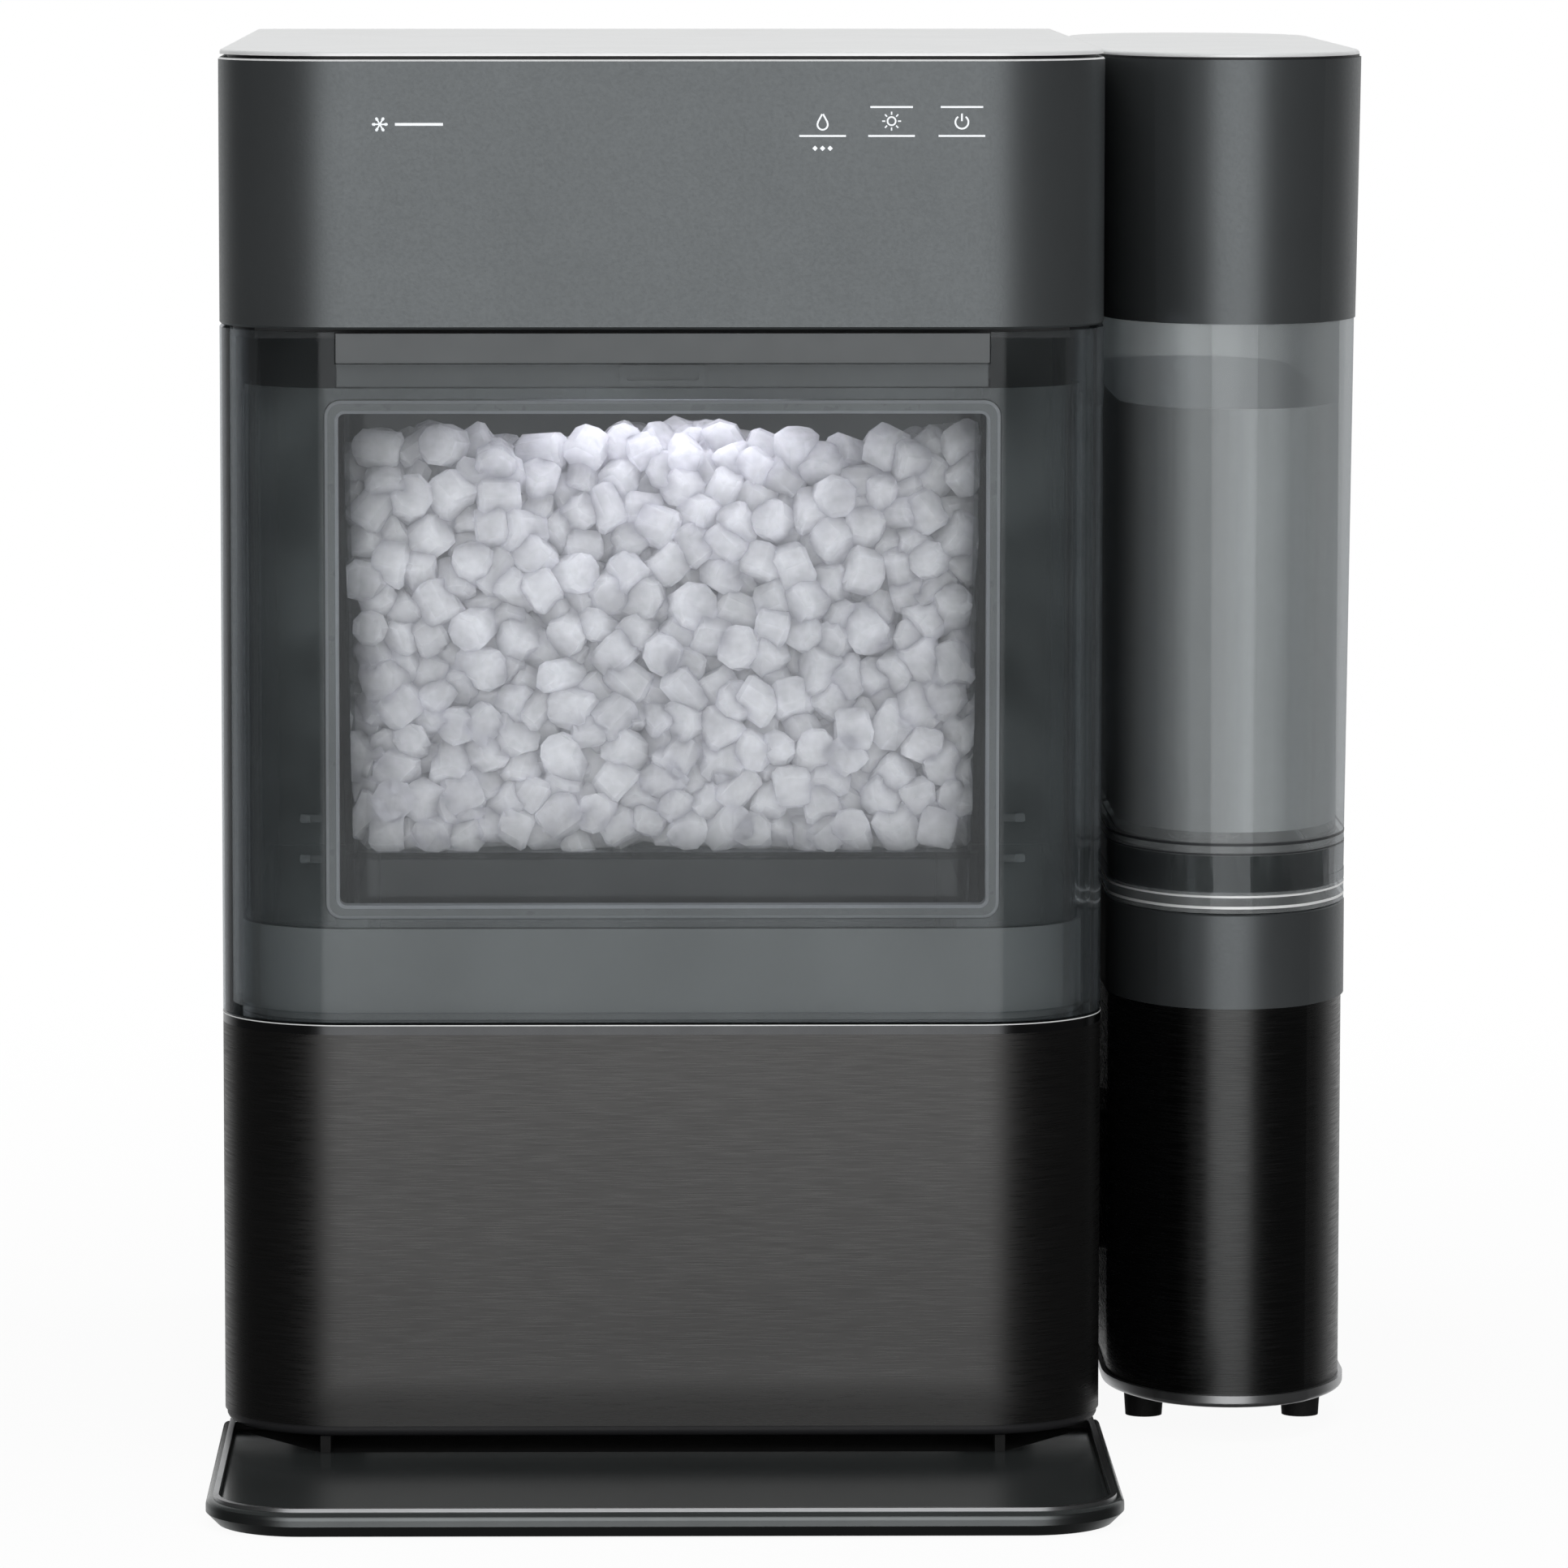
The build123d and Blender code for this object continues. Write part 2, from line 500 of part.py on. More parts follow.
PAN_CLEAR = 6.0         # melt-water pan behind the smoked front
MELT_T = 2.2
MELT_TOP = SKIN_LOW - SEAT
BUCKET_ASIDE = 2.4      # ice bucket narrower than the window at each side
BUCKET_HALF = WINDOW_HALF - BUCKET_ASIDE
BUCKET_FRONT = 12.4
BUCKET_ROOM = 8.0
BUCKET_OVER = 1.6
BUCKET_LIFT = 1.7
BUCKET_SUMP = 19.4      # drain space under the bucket's floor
BUCKET_BACK = DRAWER_D - BUCKET_ROOM
BUCKET_TOP = SKIN_HIGH + BUCKET_OVER
BUCKET_LOW = SKIN_LOW + BUCKET_LIFT
BUCKET_FLOOR = BUCKET_LOW + BUCKET_SUMP
BUCKET_T = 2.2
BUCKET_DRAFT = 1.2      # draft angle of its walls
BUCKET_LEAN = (BUCKET_TOP - BUCKET_LOW) * tan(radians(BUCKET_DRAFT))
POST_ROOM = 30.8
POST_STEP = BUCKET_BACK - BUCKET_FRONT - 2 * POST_ROOM

with BuildPart() as bin_front:
    extrude(front_plan(BIN_LOW, 0.0, BIN_WALL), amount=BIN_H)
    extrude(front_plan(BIN_LOW, BIN_WALL, PAN_CLEAR - BIN_WALL - SEAT), amount=MELT_T)
    extrude(box_plan(BIN_TOP - BAR_H - SEAT, -BAR_HALF - SEAT, BAR_HALF + SEAT, -1.0, BIN_WALL + 1.0),
            amount=BAR_H + 1.0, mode=Mode.SUBTRACT)

BAR_LIP = 2.2
BAR_DEPTH = 11.8
CATCH_HALF = 12.6       # catch in the middle of the bar
with BuildPart() as bin_grab_bar:
    with BuildSketch(Plane((BODY_X, FRONT, BIN_TOP), x_dir=(0, 1, 0), z_dir=(1, 0, 0))):
        with BuildLine():
            Polyline((0.5, -0.4), (0.5 + BAR_LIP, -0.4), (0.5 + BAR_LIP, -BAR_H + 2.0),
                     (BAR_DEPTH, -BAR_H + 2.0), (BAR_DEPTH, -BAR_H - 7.5), (BAR_DEPTH - 1.8, -BAR_H - 7.5),
                     (BAR_DEPTH - 1.8, -BAR_H), (0.5, -BAR_H), close=True)
        make_face()
    extrude(amount=BAR_HALF, both=True)
    with BuildSketch(at_front(0.0, BIN_TOP - BAR_H - 4.2, BAR_DEPTH - 1.8)):
        RectangleRounded(2 * CATCH_HALF, 6.2, 1.0)
        RectangleRounded(2 * CATCH_HALF - 4.0, 2.6, 0.8, mode=Mode.SUBTRACT)
    extrude(amount=1.4)

SKIN_RIBS = 6           # upright ribs round each corner of the inner skin
SKIN_RIB_W = 1.2
SKIN_RIB_END = 3.0
SKIN_RIB_TURN = 34.0
CATCH_W = 6.4           # catches beside the window
CATCH_H = 2.4
CATCH_RISE = 24.0
CATCH_PROUD = 1.2
with BuildPart() as bin_inner_skin:
    extrude(front_plan(SKIN_LOW, SKIN_INSET, SKIN_T, REACH - 4.0), amount=SKIN_HIGH - SKIN_LOW)
    for side, first_turn in ((1, -SKIN_RIB_TURN), (-1, 180.0)):
        with BuildSketch(Plane((BODY_X + side * (BODY_W / 2 - FRONT_R), FRONT + FRONT_R,
                                SKIN_LOW + SKIN_RIB_END))):
            with PolarLocations(FRONT_R - SKIN_INSET, SKIN_RIBS, first_turn, SKIN_RIB_TURN, endpoint=True):
                Rectangle(SKIN_RIB_W, SKIN_RIB_W)
        extrude(amount=SKIN_HIGH - SKIN_LOW - 2 * SKIN_RIB_END)
    with BuildSketch(at_front(0.0, WINDOW_LOW + CATCH_RISE, SKIN_INSET - CATCH_PROUD)):
        with GridLocations(2 * WINDOW_HALF + CATCH_W + 2.0, 12.0, 2, 2):
            RectangleRounded(CATCH_W, CATCH_H, 0.8)
    extrude(amount=-CATCH_PROUD - SKIN_T)
    with BuildSketch(at_front(0.0, (WINDOW_LOW + WINDOW_HIGH) / 2)):
        RectangleRounded(2 * WINDOW_HALF, WINDOW_HIGH - WINDOW_LOW, WINDOW_R)
    extrude(amount=-SKIN_INSET - 2 * SKIN_T, mode=Mode.SUBTRACT)

GASKET_PROUD = 1.6      # gasket ahead of the inner skin
with BuildPart() as window_gasket:
    with BuildSketch(at_front(0.0, (WINDOW_LOW + WINDOW_HIGH) / 2, SKIN_INSET - GASKET_PROUD)):
        RectangleRounded(2 * (WINDOW_HALF - SEAT), WINDOW_HIGH - WINDOW_LOW - 2 * SEAT, WINDOW_R - SEAT)
        RectangleRounded(2 * (WINDOW_HALF - GASKET_W), WINDOW_HIGH - WINDOW_LOW - 2 * GASKET_W, 2.0,
                         mode=Mode.SUBTRACT)
    extrude(amount=SKIN_INSET - GASKET_PROUD - BUCKET_FRONT + SEAT)
    chamfer(window_gasket.faces().sort_by(Axis.Y)[0].edges(), 0.9)

MELT_POST = 5.0
with BuildPart() as melt_pan:
    extrude(deck_plan(BIN_LOW, PAN_CLEAR, 0.0, DRAWER_D), amount=MELT_TOP - BIN_LOW)
    extrude(deck_plan(BIN_LOW + MELT_T, PAN_CLEAR + MELT_T, 0.0, DRAWER_D - MELT_T),
            amount=MELT_TOP - BIN_LOW, mode=Mode.SUBTRACT)
    with BuildSketch(Plane.XY.offset(BIN_LOW + MELT_T)):
        with Locations((BODY_X, FRONT + (BUCKET_FRONT + BUCKET_BACK) / 2)):
            with GridLocations(2 * (BUCKET_HALF - BUCKET_LEAN) - BUCKET_T, POST_STEP, 2, 2):
                RectangleRounded(2 * MELT_POST, 2 * MELT_POST, 2.0)
    extrude(amount=BUCKET_LOW - BIN_LOW - MELT_T)

DRAIN_SLOT_L = 26.0     # drain slots of the bucket floor
DRAIN_SLOT_W = 3.0
DRAIN_SLOT_COLUMNS = 4
DRAIN_SLOT_ROWS = 7
DRAIN_ROOM = 32.0       # outermost slots from the bucket's walls
DRAIN_STEP_X = 2 * (BUCKET_HALF - DRAIN_ROOM) / (DRAIN_SLOT_COLUMNS - 1)
DRAIN_STEP_Y = (BUCKET_BACK - BUCKET_FRONT - 2 * DRAIN_ROOM) / (DRAIN_SLOT_ROWS - 1)
with BuildPart() as ice_bucket:
    rise = BUCKET_TOP - BUCKET_LOW
    extrude(box_plan(BUCKET_LOW, BUCKET_LEAN - BUCKET_HALF, BUCKET_HALF - BUCKET_LEAN,
                     BUCKET_FRONT + BUCKET_LEAN, BUCKET_BACK - BUCKET_LEAN, 8.0),
            amount=rise, taper=-BUCKET_DRAFT)
    inner = BUCKET_LEAN + BUCKET_T
    extrude(box_plan(BUCKET_LOW, inner - BUCKET_HALF, BUCKET_HALF - inner, BUCKET_FRONT + inner,
                     BUCKET_BACK - inner, 6.0), amount=rise, taper=-BUCKET_DRAFT, mode=Mode.SUBTRACT)
    floor_lean = inner - (BUCKET_FLOOR - BUCKET_LOW) * sin(radians(BUCKET_DRAFT)) - 0.6
    extrude(box_plan(BUCKET_FLOOR - BUCKET_T, floor_lean - BUCKET_HALF, BUCKET_HALF - floor_lean,
                     BUCKET_FRONT + floor_lean, BUCKET_BACK - floor_lean, 6.0), amount=BUCKET_T)
    with BuildSketch(Plane.XY.offset(BUCKET_FLOOR - BUCKET_T)):
        with Locations((BODY_X, FRONT + (BUCKET_FRONT + BUCKET_BACK) / 2)):
            with GridLocations(DRAIN_STEP_X, DRAIN_STEP_Y, DRAIN_SLOT_COLUMNS, DRAIN_SLOT_ROWS):
                SlotOverall(DRAIN_SLOT_L, DRAIN_SLOT_W)
    extrude(amount=BUCKET_T, mode=Mode.SUBTRACT)

# ================================================================ ice making machinery
BARREL_R = 31.0         # insulated evaporator barrel
BARREL_BORE = 22.0
BARREL_RISE = 13.7
GEARBOX_RISE = 16.0
BARREL_TOP = HOUSING_LOW + BARREL_RISE
GEARBOX_TOP = BIN_LOW + GEARBOX_RISE
GEARBOX_H = 36.0
MOTOR_R = 27.0
JOURNAL_R = 8.0         # auger journal in the gearbox
JOURNAL_EASE = 0.05
JOURNAL_L = 20.0
AUGER_CORE = 9.5
AUGER_EASE = 0.5        # flight tip to bore
AUGER_TURNS = 7
FLIGHT_T = 3.0
HEAD_T = 14.0           # extruder head on the barrel
BARREL = Plane((BODY_X, FRONT + BARREL_Y, 0.0))

with BuildPart() as gear_motor:
    with BuildSketch(BARREL.offset(GEARBOX_TOP - GEARBOX_H)):
        RectangleRounded(2 * GEARBOX_HALF, 2 * GEARBOX_HALF, 8.0)
    extrude(amount=GEARBOX_H)
    with BuildSketch(BARREL.offset(PAN_TOP)):
        Circle(MOTOR_R)
    extrude(amount=GEARBOX_TOP - GEARBOX_H - PAN_TOP)
    with BuildSketch(BARREL.offset(GEARBOX_TOP - JOURNAL_L)):
        Circle(JOURNAL_R + JOURNAL_EASE)
    extrude(amount=JOURNAL_L, mode=Mode.SUBTRACT)

with BuildPart() as evaporator_barrel:
    with BuildSketch(BARREL.offset(GEARBOX_TOP)):
        Circle(BARREL_R)
        Circle(BARREL_BORE, mode=Mode.SUBTRACT)
    extrude(amount=BARREL_TOP - GEARBOX_TOP)

FLIGHT_LIFT = 8.0
FLIGHT_LOW = GEARBOX_TOP + FLIGHT_LIFT
FLIGHT_SHORT = 12.0
AUGER_PITCH = (BARREL_TOP - FLIGHT_LOW - FLIGHT_SHORT) / AUGER_TURNS
FLIGHT_R = BARREL_BORE - AUGER_EASE
FLIGHT_ROOT = AUGER_CORE - 1.0
with BuildPart() as auger:
    with BuildSketch(BARREL.offset(GEARBOX_TOP - JOURNAL_L + SEAT)):
        Circle(JOURNAL_R)
    extrude(amount=JOURNAL_L)
    with BuildSketch(BARREL.offset(GEARBOX_TOP + SEAT)):
        Circle(AUGER_CORE)
    extrude(amount=BARREL_TOP - GEARBOX_TOP - 2 * SEAT)
    with BuildLine(BARREL.offset(FLIGHT_LOW)) as flight_path:
        Helix(AUGER_PITCH, AUGER_PITCH * AUGER_TURNS, FLIGHT_ROOT)
    with BuildSketch(Plane(flight_path.line @ 0, x_dir=(1, 0, 0), z_dir=(0, 1, 0))):
        Rectangle(FLIGHT_R - FLIGHT_ROOT, FLIGHT_T, align=(Align.MIN, Align.CENTER))
    sweep(path=flight_path.line, is_frenet=True)

with BuildPart() as extruder_head:
    with BuildSketch(BARREL.offset(BARREL_TOP)):
        Circle(BARREL_R - 3.0)
        with PolarLocations(15.0, 6):
            SlotOverall(13.0, 8.0)
    extrude(amount=HEAD_T)
    with BuildSketch(BARREL.offset(BARREL_TOP)):
        with PolarLocations(15.0, 6):
            SlotOverall(13.0, 8.0)
    extrude(amount=HEAD_T, mode=Mode.SUBTRACT)

CHUTE_HALF = 37.0       # ice chute, outer half width
CHUTE_T = 2.0
CHUTE_DROP = 32.9
CHUTE_NOSE = 22.0       # slope at the chute's front
CHUTE_ROOM = 12.0
CHUTE_LAP = 4.0
CHUTE_TOP = HOUSING_TOP - CHUTE_DROP
CHUTE_FRONT = DROP_START - CHUTE_LAP
CHUTE_BACK = BARREL_Y + BARREL_R + 3.0
with BuildPart() as ice_chute:
    with BuildSketch(Plane((BODY_X, FRONT, HOUSING_LOW), x_dir=(0, 1, 0), z_dir=(1, 0, 0))) as side_view:
        with BuildLine():
            Polyline((CHUTE_FRONT, 0), (DROP_END + CHUTE_LAP, 0),
                     (BAY_BACK + CHUTE_ROOM, BARREL_RISE + SEAT), (CHUTE_BACK, BARREL_RISE + SEAT),
                     (CHUTE_BACK, CHUTE_TOP - HOUSING_LOW),
                     (CHUTE_FRONT + CHUTE_NOSE, CHUTE_TOP - HOUSING_LOW),
                     (CHUTE_FRONT, CHUTE_NOSE), close=True)
        make_face()
    extrude(amount=CHUTE_HALF, both=True)
    mouth = ice_chute.faces().sort_by(Axis.Z)[0]
    offset(amount=-CHUTE_T, openings=mouth)
    with BuildSketch(BARREL.offset(BARREL_TOP)):
        Circle(BARREL_R - 3.0 + SEAT)
    extrude(amount=CHUTE_T + 2.0, mode=Mode.SUBTRACT)

COMP_TOP = 104.0
COMP_CROWN = 24.0
COMP_LIFT = 4.0
LINE_R = 3.0
STUB_TOP = COMP_TOP + 4.0
DISCHARGE_X = COMP_X - 0.65 * COMP_R
DISCHARGE_Y = COMP_Y - 0.46 * COMP_R
with BuildPart() as compressor:
    with BuildSketch(Plane((BODY_X + COMP_X, FRONT + COMP_Y, PAN_TOP + COMP_LIFT))):
        Circle(COMP_R)
    extrude(amount=COMP_TOP - PAN_TOP - COMP_LIFT)
    fillet(compressor.edges().group_by(Axis.Z)[-1], COMP_CROWN)
    fillet(compressor.edges().group_by(Axis.Z)[0], 10.0)
    with BuildSketch(Plane((BODY_X + COMP_X, FRONT + COMP_Y, PAN_TOP))):
        with PolarLocations(COMP_R - 16.0, 3, 30):
            Circle(8.0)
    extrude(amount=10.0)
    with BuildSketch(Plane((BODY_X, FRONT, COMP_TOP - COMP_CROWN))):
        with Locations((DISCHARGE_X, DISCHARGE_Y), (SUCTION_X, BARREL_Y)):
            Circle(LINE_R + 1.0)
    extrude(amount=STUB_TOP - COMP_TOP + COMP_CROWN)

COND_SIDE = 18.0        # condenser behind the left side panel
COND_X = COND_SIDE - BODY_W / 2
COND_T = 27.0
COND_LEAD = 29.0
COND_TRAIL = 12.0
COND_START = DECK_START + COND_LEAD
COND_L = COMP_Y - COMP_R - COND_TRAIL - COND_START
COND_H = 88.0
FIN_COUNT = 12
FIN_T = 0.9
TUBE_R = 3.5
TUBE_STEP = 22.0
TUBE_RISE = 1.5 * TUBE_STEP
with BuildPart() as condenser:
    fin_step = (COND_L - FIN_T) / (FIN_COUNT - 1)
    for fin in range(FIN_COUNT):
        fin_y = COND_START + fin * fin_step
        extrude(box_plan(PAN_TOP, COND_X, COND_X + COND_T, fin_y, fin_y + FIN_T), amount=COND_H)
    with BuildSketch(Plane((BODY_X + COND_X + COND_T / 2, FRONT + COND_START - 6.0, PAN_TOP + COND_H / 2),
                           x_dir=(1, 0, 0), z_dir=(0, 1, 0))):
        with GridLocations(13.0, TUBE_STEP, 2, 4):
            Circle(TUBE_R)
    extrude(amount=COND_L + 12.0)

FAN_X = COND_X + COND_T + SEAT
FAN_Y = COND_START + COND_L / 2
FAN_Z = PAN_TOP + 46.0
FAN_R = 40.0
FAN_HUB_R = 15.0
FAN_EASE = 2.0
SHROUD_T = 22.0
SHROUD_HALF = 46.0
STRUT_W = 8.0           # cross struts that carry the fan motor
STRUT_T = 2.0
BLADES = 7
BLADE_T = 1.6
SHAFT_R = 2.5
FAN_PLANE = Plane((BODY_X + FAN_X, FRONT + FAN_Y, FAN_Z), x_dir=(0, 1, 0), z_dir=(1, 0, 0))
with BuildPart() as fan_shroud:
    with BuildSketch(FAN_PLANE):
        RectangleRounded(2 * SHROUD_HALF, 2 * SHROUD_HALF, 4.0)
        Circle(FAN_R + FAN_EASE, mode=Mode.SUBTRACT)
    extrude(amount=SHROUD_T)
    with BuildSketch(FAN_PLANE.offset(SHROUD_T)):
        RectangleRounded(2 * SHROUD_HALF, STRUT_W, 3.0)
        RectangleRounded(STRUT_W, 2 * SHROUD_HALF, 3.0)
        Circle(18.0)
        Circle(SHAFT_R + 1.0, mode=Mode.SUBTRACT)
    extrude(amount=STRUT_T)

with BuildPart() as fan_motor:
    with BuildSketch(FAN_PLANE.offset(SHROUD_T + STRUT_T)):
        Circle(17.0)
        Circle(SHAFT_R + JOURNAL_EASE, mode=Mode.SUBTRACT)
    extrude(amount=20.0)
    with BuildSketch(FAN_PLANE.offset(SHROUD_T + STRUT_T + 20.0)):
        Circle(17.0)
    extrude(amount=3.0)

with BuildPart() as fan_rotor:
    with BuildSketch(FAN_PLANE.offset(2.0)):
        Circle(FAN_HUB_R)
    extrude(amount=SHROUD_T - 4.0)
    with BuildSketch(FAN_PLANE.offset(SHROUD_T - 2.5)):
        Circle(SHAFT_R)
    extrude(amount=22.0)
    for blade in range(BLADES):
        turn = 360.0 * blade / BLADES
        spoke = Vector(0, cos(radians(turn)), sin(radians(turn)))
        middle = Vector(BODY_X + FAN_X + SHROUD_T / 2, FRONT + FAN_Y, FAN_Z)
        for reach, pitch in ((FAN_HUB_R - 1.5, 52.0), (FAN_R, 28.0)):
            chord = Vector(sin(radians(pitch)), 0, 0) + spoke.cross(Vector(1, 0, 0)) * cos(radians(pitch))
            with BuildSketch(Plane(middle + spoke * reach, x_dir=chord, z_dir=spoke)):
                Rectangle(17.0, BLADE_T)
        loft()

PUMP_ROOM = 13.0        # room at both ends of the water pump
PUMP_X = HOSE_X + PUMP_ROOM
PUMP_L = BODY_W / 2 - PUMP_ROOM - PUMP_X
PUMP_HALF = 18.0
PUMP_AXIS_Z = PAN_TOP + PUMP_HALF + 2.0
with BuildPart() as water_pump:
    extrude(box_plan(PAN_TOP, PUMP_X, PUMP_X + PUMP_L, COUPLER_Y - PUMP_HALF, COUPLER_Y + PUMP_HALF, 4.0),
            amount=14.0)
    with BuildSketch(Plane((BODY_X + PUMP_X, FRONT + COUPLER_Y, PUMP_AXIS_Z),
                           x_dir=(0, 1, 0), z_dir=(1, 0, 0))):
        Circle(PUMP_HALF)
    extrude(amount=PUMP_L)
    with BuildSketch(Plane((BODY_X + PUMP_X + PUMP_L - 12.0, FRONT + COUPLER_Y, PAN_TOP + 20.0))):
        RectangleRounded(16.0, 16.0, 3.0)
    extrude(amount=COUPLER_Z + 8.0 - PAN_TOP - 20.0)

TANK_BOX_ASIDE = 9.0    # inner reservoir beside the barrel
TANK_BOX_SIDE = 19.0
TANK_BOX_ROOM = 10.0
TANK_BOX_D = 72.0
TANK_BOX_X0 = BARREL_R + TANK_BOX_ASIDE
TANK_BOX_X1 = BODY_W / 2 - TANK_BOX_SIDE
TANK_BOX_Y1 = BODY_D - TANK_BOX_ROOM
TANK_BOX_Y0 = TANK_BOX_Y1 - TANK_BOX_D
TANK_BOX_H = 110.0
FLOAT_R = 13.0
FLOAT_H = 18.0
STEM_R = 3.0
FLOAT_TRAVEL = 45.0
FLOAT_X = (TANK_BOX_X0 + TANK_BOX_X1) / 2
FLOAT_Y = (TANK_BOX_Y0 + TANK_BOX_Y1) / 2
with BuildPart() as inner_reservoir:
    extrude(box_plan(DECK_TOP, TANK_BOX_X0, TANK_BOX_X1, TANK_BOX_Y0, TANK_BOX_Y1, 6.0), amount=TANK_BOX_H)
    extrude(box_plan(DECK_TOP + MOULD, TANK_BOX_X0 + MOULD, TANK_BOX_X1 - MOULD, TANK_BOX_Y0 + MOULD,
                     TANK_BOX_Y1 - MOULD, 4.0), amount=TANK_BOX_H, mode=Mode.SUBTRACT)
    with BuildSketch(Plane((BODY_X + FLOAT_X, FRONT + FLOAT_Y, DECK_TOP))):
        Circle(STEM_R)
    extrude(amount=TANK_BOX_H - 6.0)
with BuildPart() as reservoir_lid:
    extrude(box_plan(DECK_TOP + TANK_BOX_H, TANK_BOX_X0, TANK_BOX_X1, TANK_BOX_Y0, TANK_BOX_Y1, 6.0),
            amount=MOULD)
with BuildPart() as level_float:
    with BuildSketch(Plane((BODY_X + FLOAT_X, FRONT + FLOAT_Y, DECK_TOP + MOULD + SEAT))):
        Circle(FLOAT_R)
        Circle(STEM_R + 0.1, mode=Mode.SUBTRACT)
    extrude(amount=FLOAT_H)

HOSE_BEND = 9.0
PUMP_OUT_Z = PUMP_AXIS_Z + 12.0
HOSE_RISE_Y = (COUPLER_Y + HOSE_Y) / 2
HOSE_TOP_Z = DECK_LOW - 12.0
with BuildPart() as supply_hose:
    with BuildLine() as hose_path:
        FilletPolyline((BODY_X + PUMP_X, FRONT + COUPLER_Y, PUMP_OUT_Z),
                       (BODY_X + HOSE_X, FRONT + COUPLER_Y, PUMP_OUT_Z),
                       (BODY_X + HOSE_X, FRONT + HOSE_RISE_Y, PUMP_OUT_Z),
                       (BODY_X + HOSE_X, FRONT + HOSE_RISE_Y, HOSE_TOP_Z),
                       (BODY_X + HOSE_X, FRONT + HOSE_Y, HOSE_TOP_Z),
                       (BODY_X + HOSE_X, FRONT + HOSE_Y, DECK_TOP), radius=HOSE_BEND)
    with BuildSketch(Plane(hose_path.line @ 0, z_dir=hose_path.line % 0)):
        Circle(HOSE_R)
    sweep()

FEED_Z = 170.0
with BuildPart() as barrel_feed:
    with BuildSketch(Plane((BODY_X + TANK_BOX_X0, FRONT + BARREL_Y, FEED_Z), x_dir=(0, 1, 0),
                           z_dir=(-1, 0, 0))):
        Circle(HOSE_R)
    extrude(amount=TANK_BOX_X0 - BARREL_R - SEAT)

SUCTION_Z = 210.0
LINE_BEND = 8.0
LINE_OVER = STUB_TOP + 12.0
LINE_DOWN_Y = COND_START + COND_L + 3.0
LINE_FOOT = PAN_TOP + COND_H / 2 + TUBE_RISE + TUBE_R + SEAT
with BuildPart() as suction_line:
    with BuildLine() as suction_path:
        FilletPolyline((BODY_X - BARREL_R - SEAT, FRONT + BARREL_Y, SUCTION_Z),
                       (BODY_X + SUCTION_X, FRONT + BARREL_Y, SUCTION_Z),
                       (BODY_X + SUCTION_X, FRONT + BARREL_Y, STUB_TOP), radius=LINE_BEND)
    with BuildSketch(Plane(suction_path.line @ 0, z_dir=suction_path.line % 0)):
        Circle(LINE_R)
    sweep()
with BuildPart() as discharge_line:
    with BuildLine() as discharge_path:
        FilletPolyline((BODY_X + DISCHARGE_X, FRONT + DISCHARGE_Y, STUB_TOP),
                       (BODY_X + DISCHARGE_X, FRONT + DISCHARGE_Y, LINE_OVER),
                       (BODY_X + DISCHARGE_X, FRONT + LINE_DOWN_Y, LINE_OVER),
                       (BODY_X + DISCHARGE_X, FRONT + LINE_DOWN_Y, LINE_FOOT),
                       radius=LINE_BEND)
    with BuildSketch(Plane(discharge_path.line @ 0, z_dir=discharge_path.line % 0)):
        Circle(LINE_R)
    sweep()

BOARD_T = 1.6
POST_L = 8.0            # posts that carry the power board
POST_R = 3.0
POWER_FACE = GUSSET_HALF - DECK_T - POST_L
POWER_LEAD = 7.0
POWER_START = DECK_START + POWER_LEAD
POWER_L = 100.0
POWER_H = 74.0
POWER_RISE = 20.0
POWER_LOW = PAN_TOP + POWER_RISE
POST_EDGE = 6.0
COIL_T = 26.4
with BuildPart() as power_board:
    extrude(box_plan(POWER_LOW, POWER_FACE - BOARD_T, POWER_FACE, POWER_START, POWER_START + POWER_L),
            amount=POWER_H)
    with BuildSketch(Plane((BODY_X + POWER_FACE, FRONT + POWER_START + POWER_L / 2, POWER_LOW + POWER_H / 2),
                           x_dir=(0, 1, 0), z_dir=(1, 0, 0))):
        with GridLocations(POWER_L - 2 * POST_EDGE, POWER_H - 2 * POST_EDGE, 2, 2):
            Circle(POST_R)
    extrude(amount=POST_L)
    extrude(box_plan(POWER_LOW + 14.0, POWER_FACE - BOARD_T - COIL_T, POWER_FACE - BOARD_T,
                     POWER_START + 12.0, POWER_START + 44.0, 2.0), amount=34.0)
    extrude(box_plan(POWER_LOW + 10.0, POWER_FACE - BOARD_T - COIL_T + POST_EDGE, POWER_FACE - BOARD_T,
                     POWER_START + POWER_L - 42.0, POWER_START + POWER_L - 12.0, 2.0), amount=24.0)

CONTROL_ASIDE = 43.0    # control board from the body's sides
CONTROL_SHORT = 26.6
CONTROL_RISE = 37.7
CONTROL_HALF = BODY_W / 2 - CONTROL_ASIDE
CONTROL_H = HOUSING_H - CONTROL_SHORT
CONTROL_Z = HOUSING_LOW + CONTROL_RISE
CONTROL_DEPTH = 9.0     # board behind the housing's front face
with BuildPart() as control_board:
    with BuildSketch(at_front(0.0, CONTROL_Z, CONTROL_DEPTH)):
        Rectangle(2 * CONTROL_HALF, CONTROL_H)
    extrude(amount=-BOARD_T)
    with BuildSketch(at_front(0.0, CONTROL_Z, CONTROL_DEPTH)):
        with GridLocations(2 * (CONTROL_HALF - POST_EDGE), CONTROL_H - 2 * POST_EDGE, 2, 2):
            Circle(POST_R)
    extrude(amount=CONTROL_DEPTH - MOULD)
    with BuildSketch(at_front(0.0, CONTROL_Z - 6.0, CONTROL_DEPTH + BOARD_T)):
        with Locations((-48.0, 0.0), (20.0, 4.0)):
            RectangleRounded(24.0, 24.0, 1.0)
    extrude(amount=-3.0)

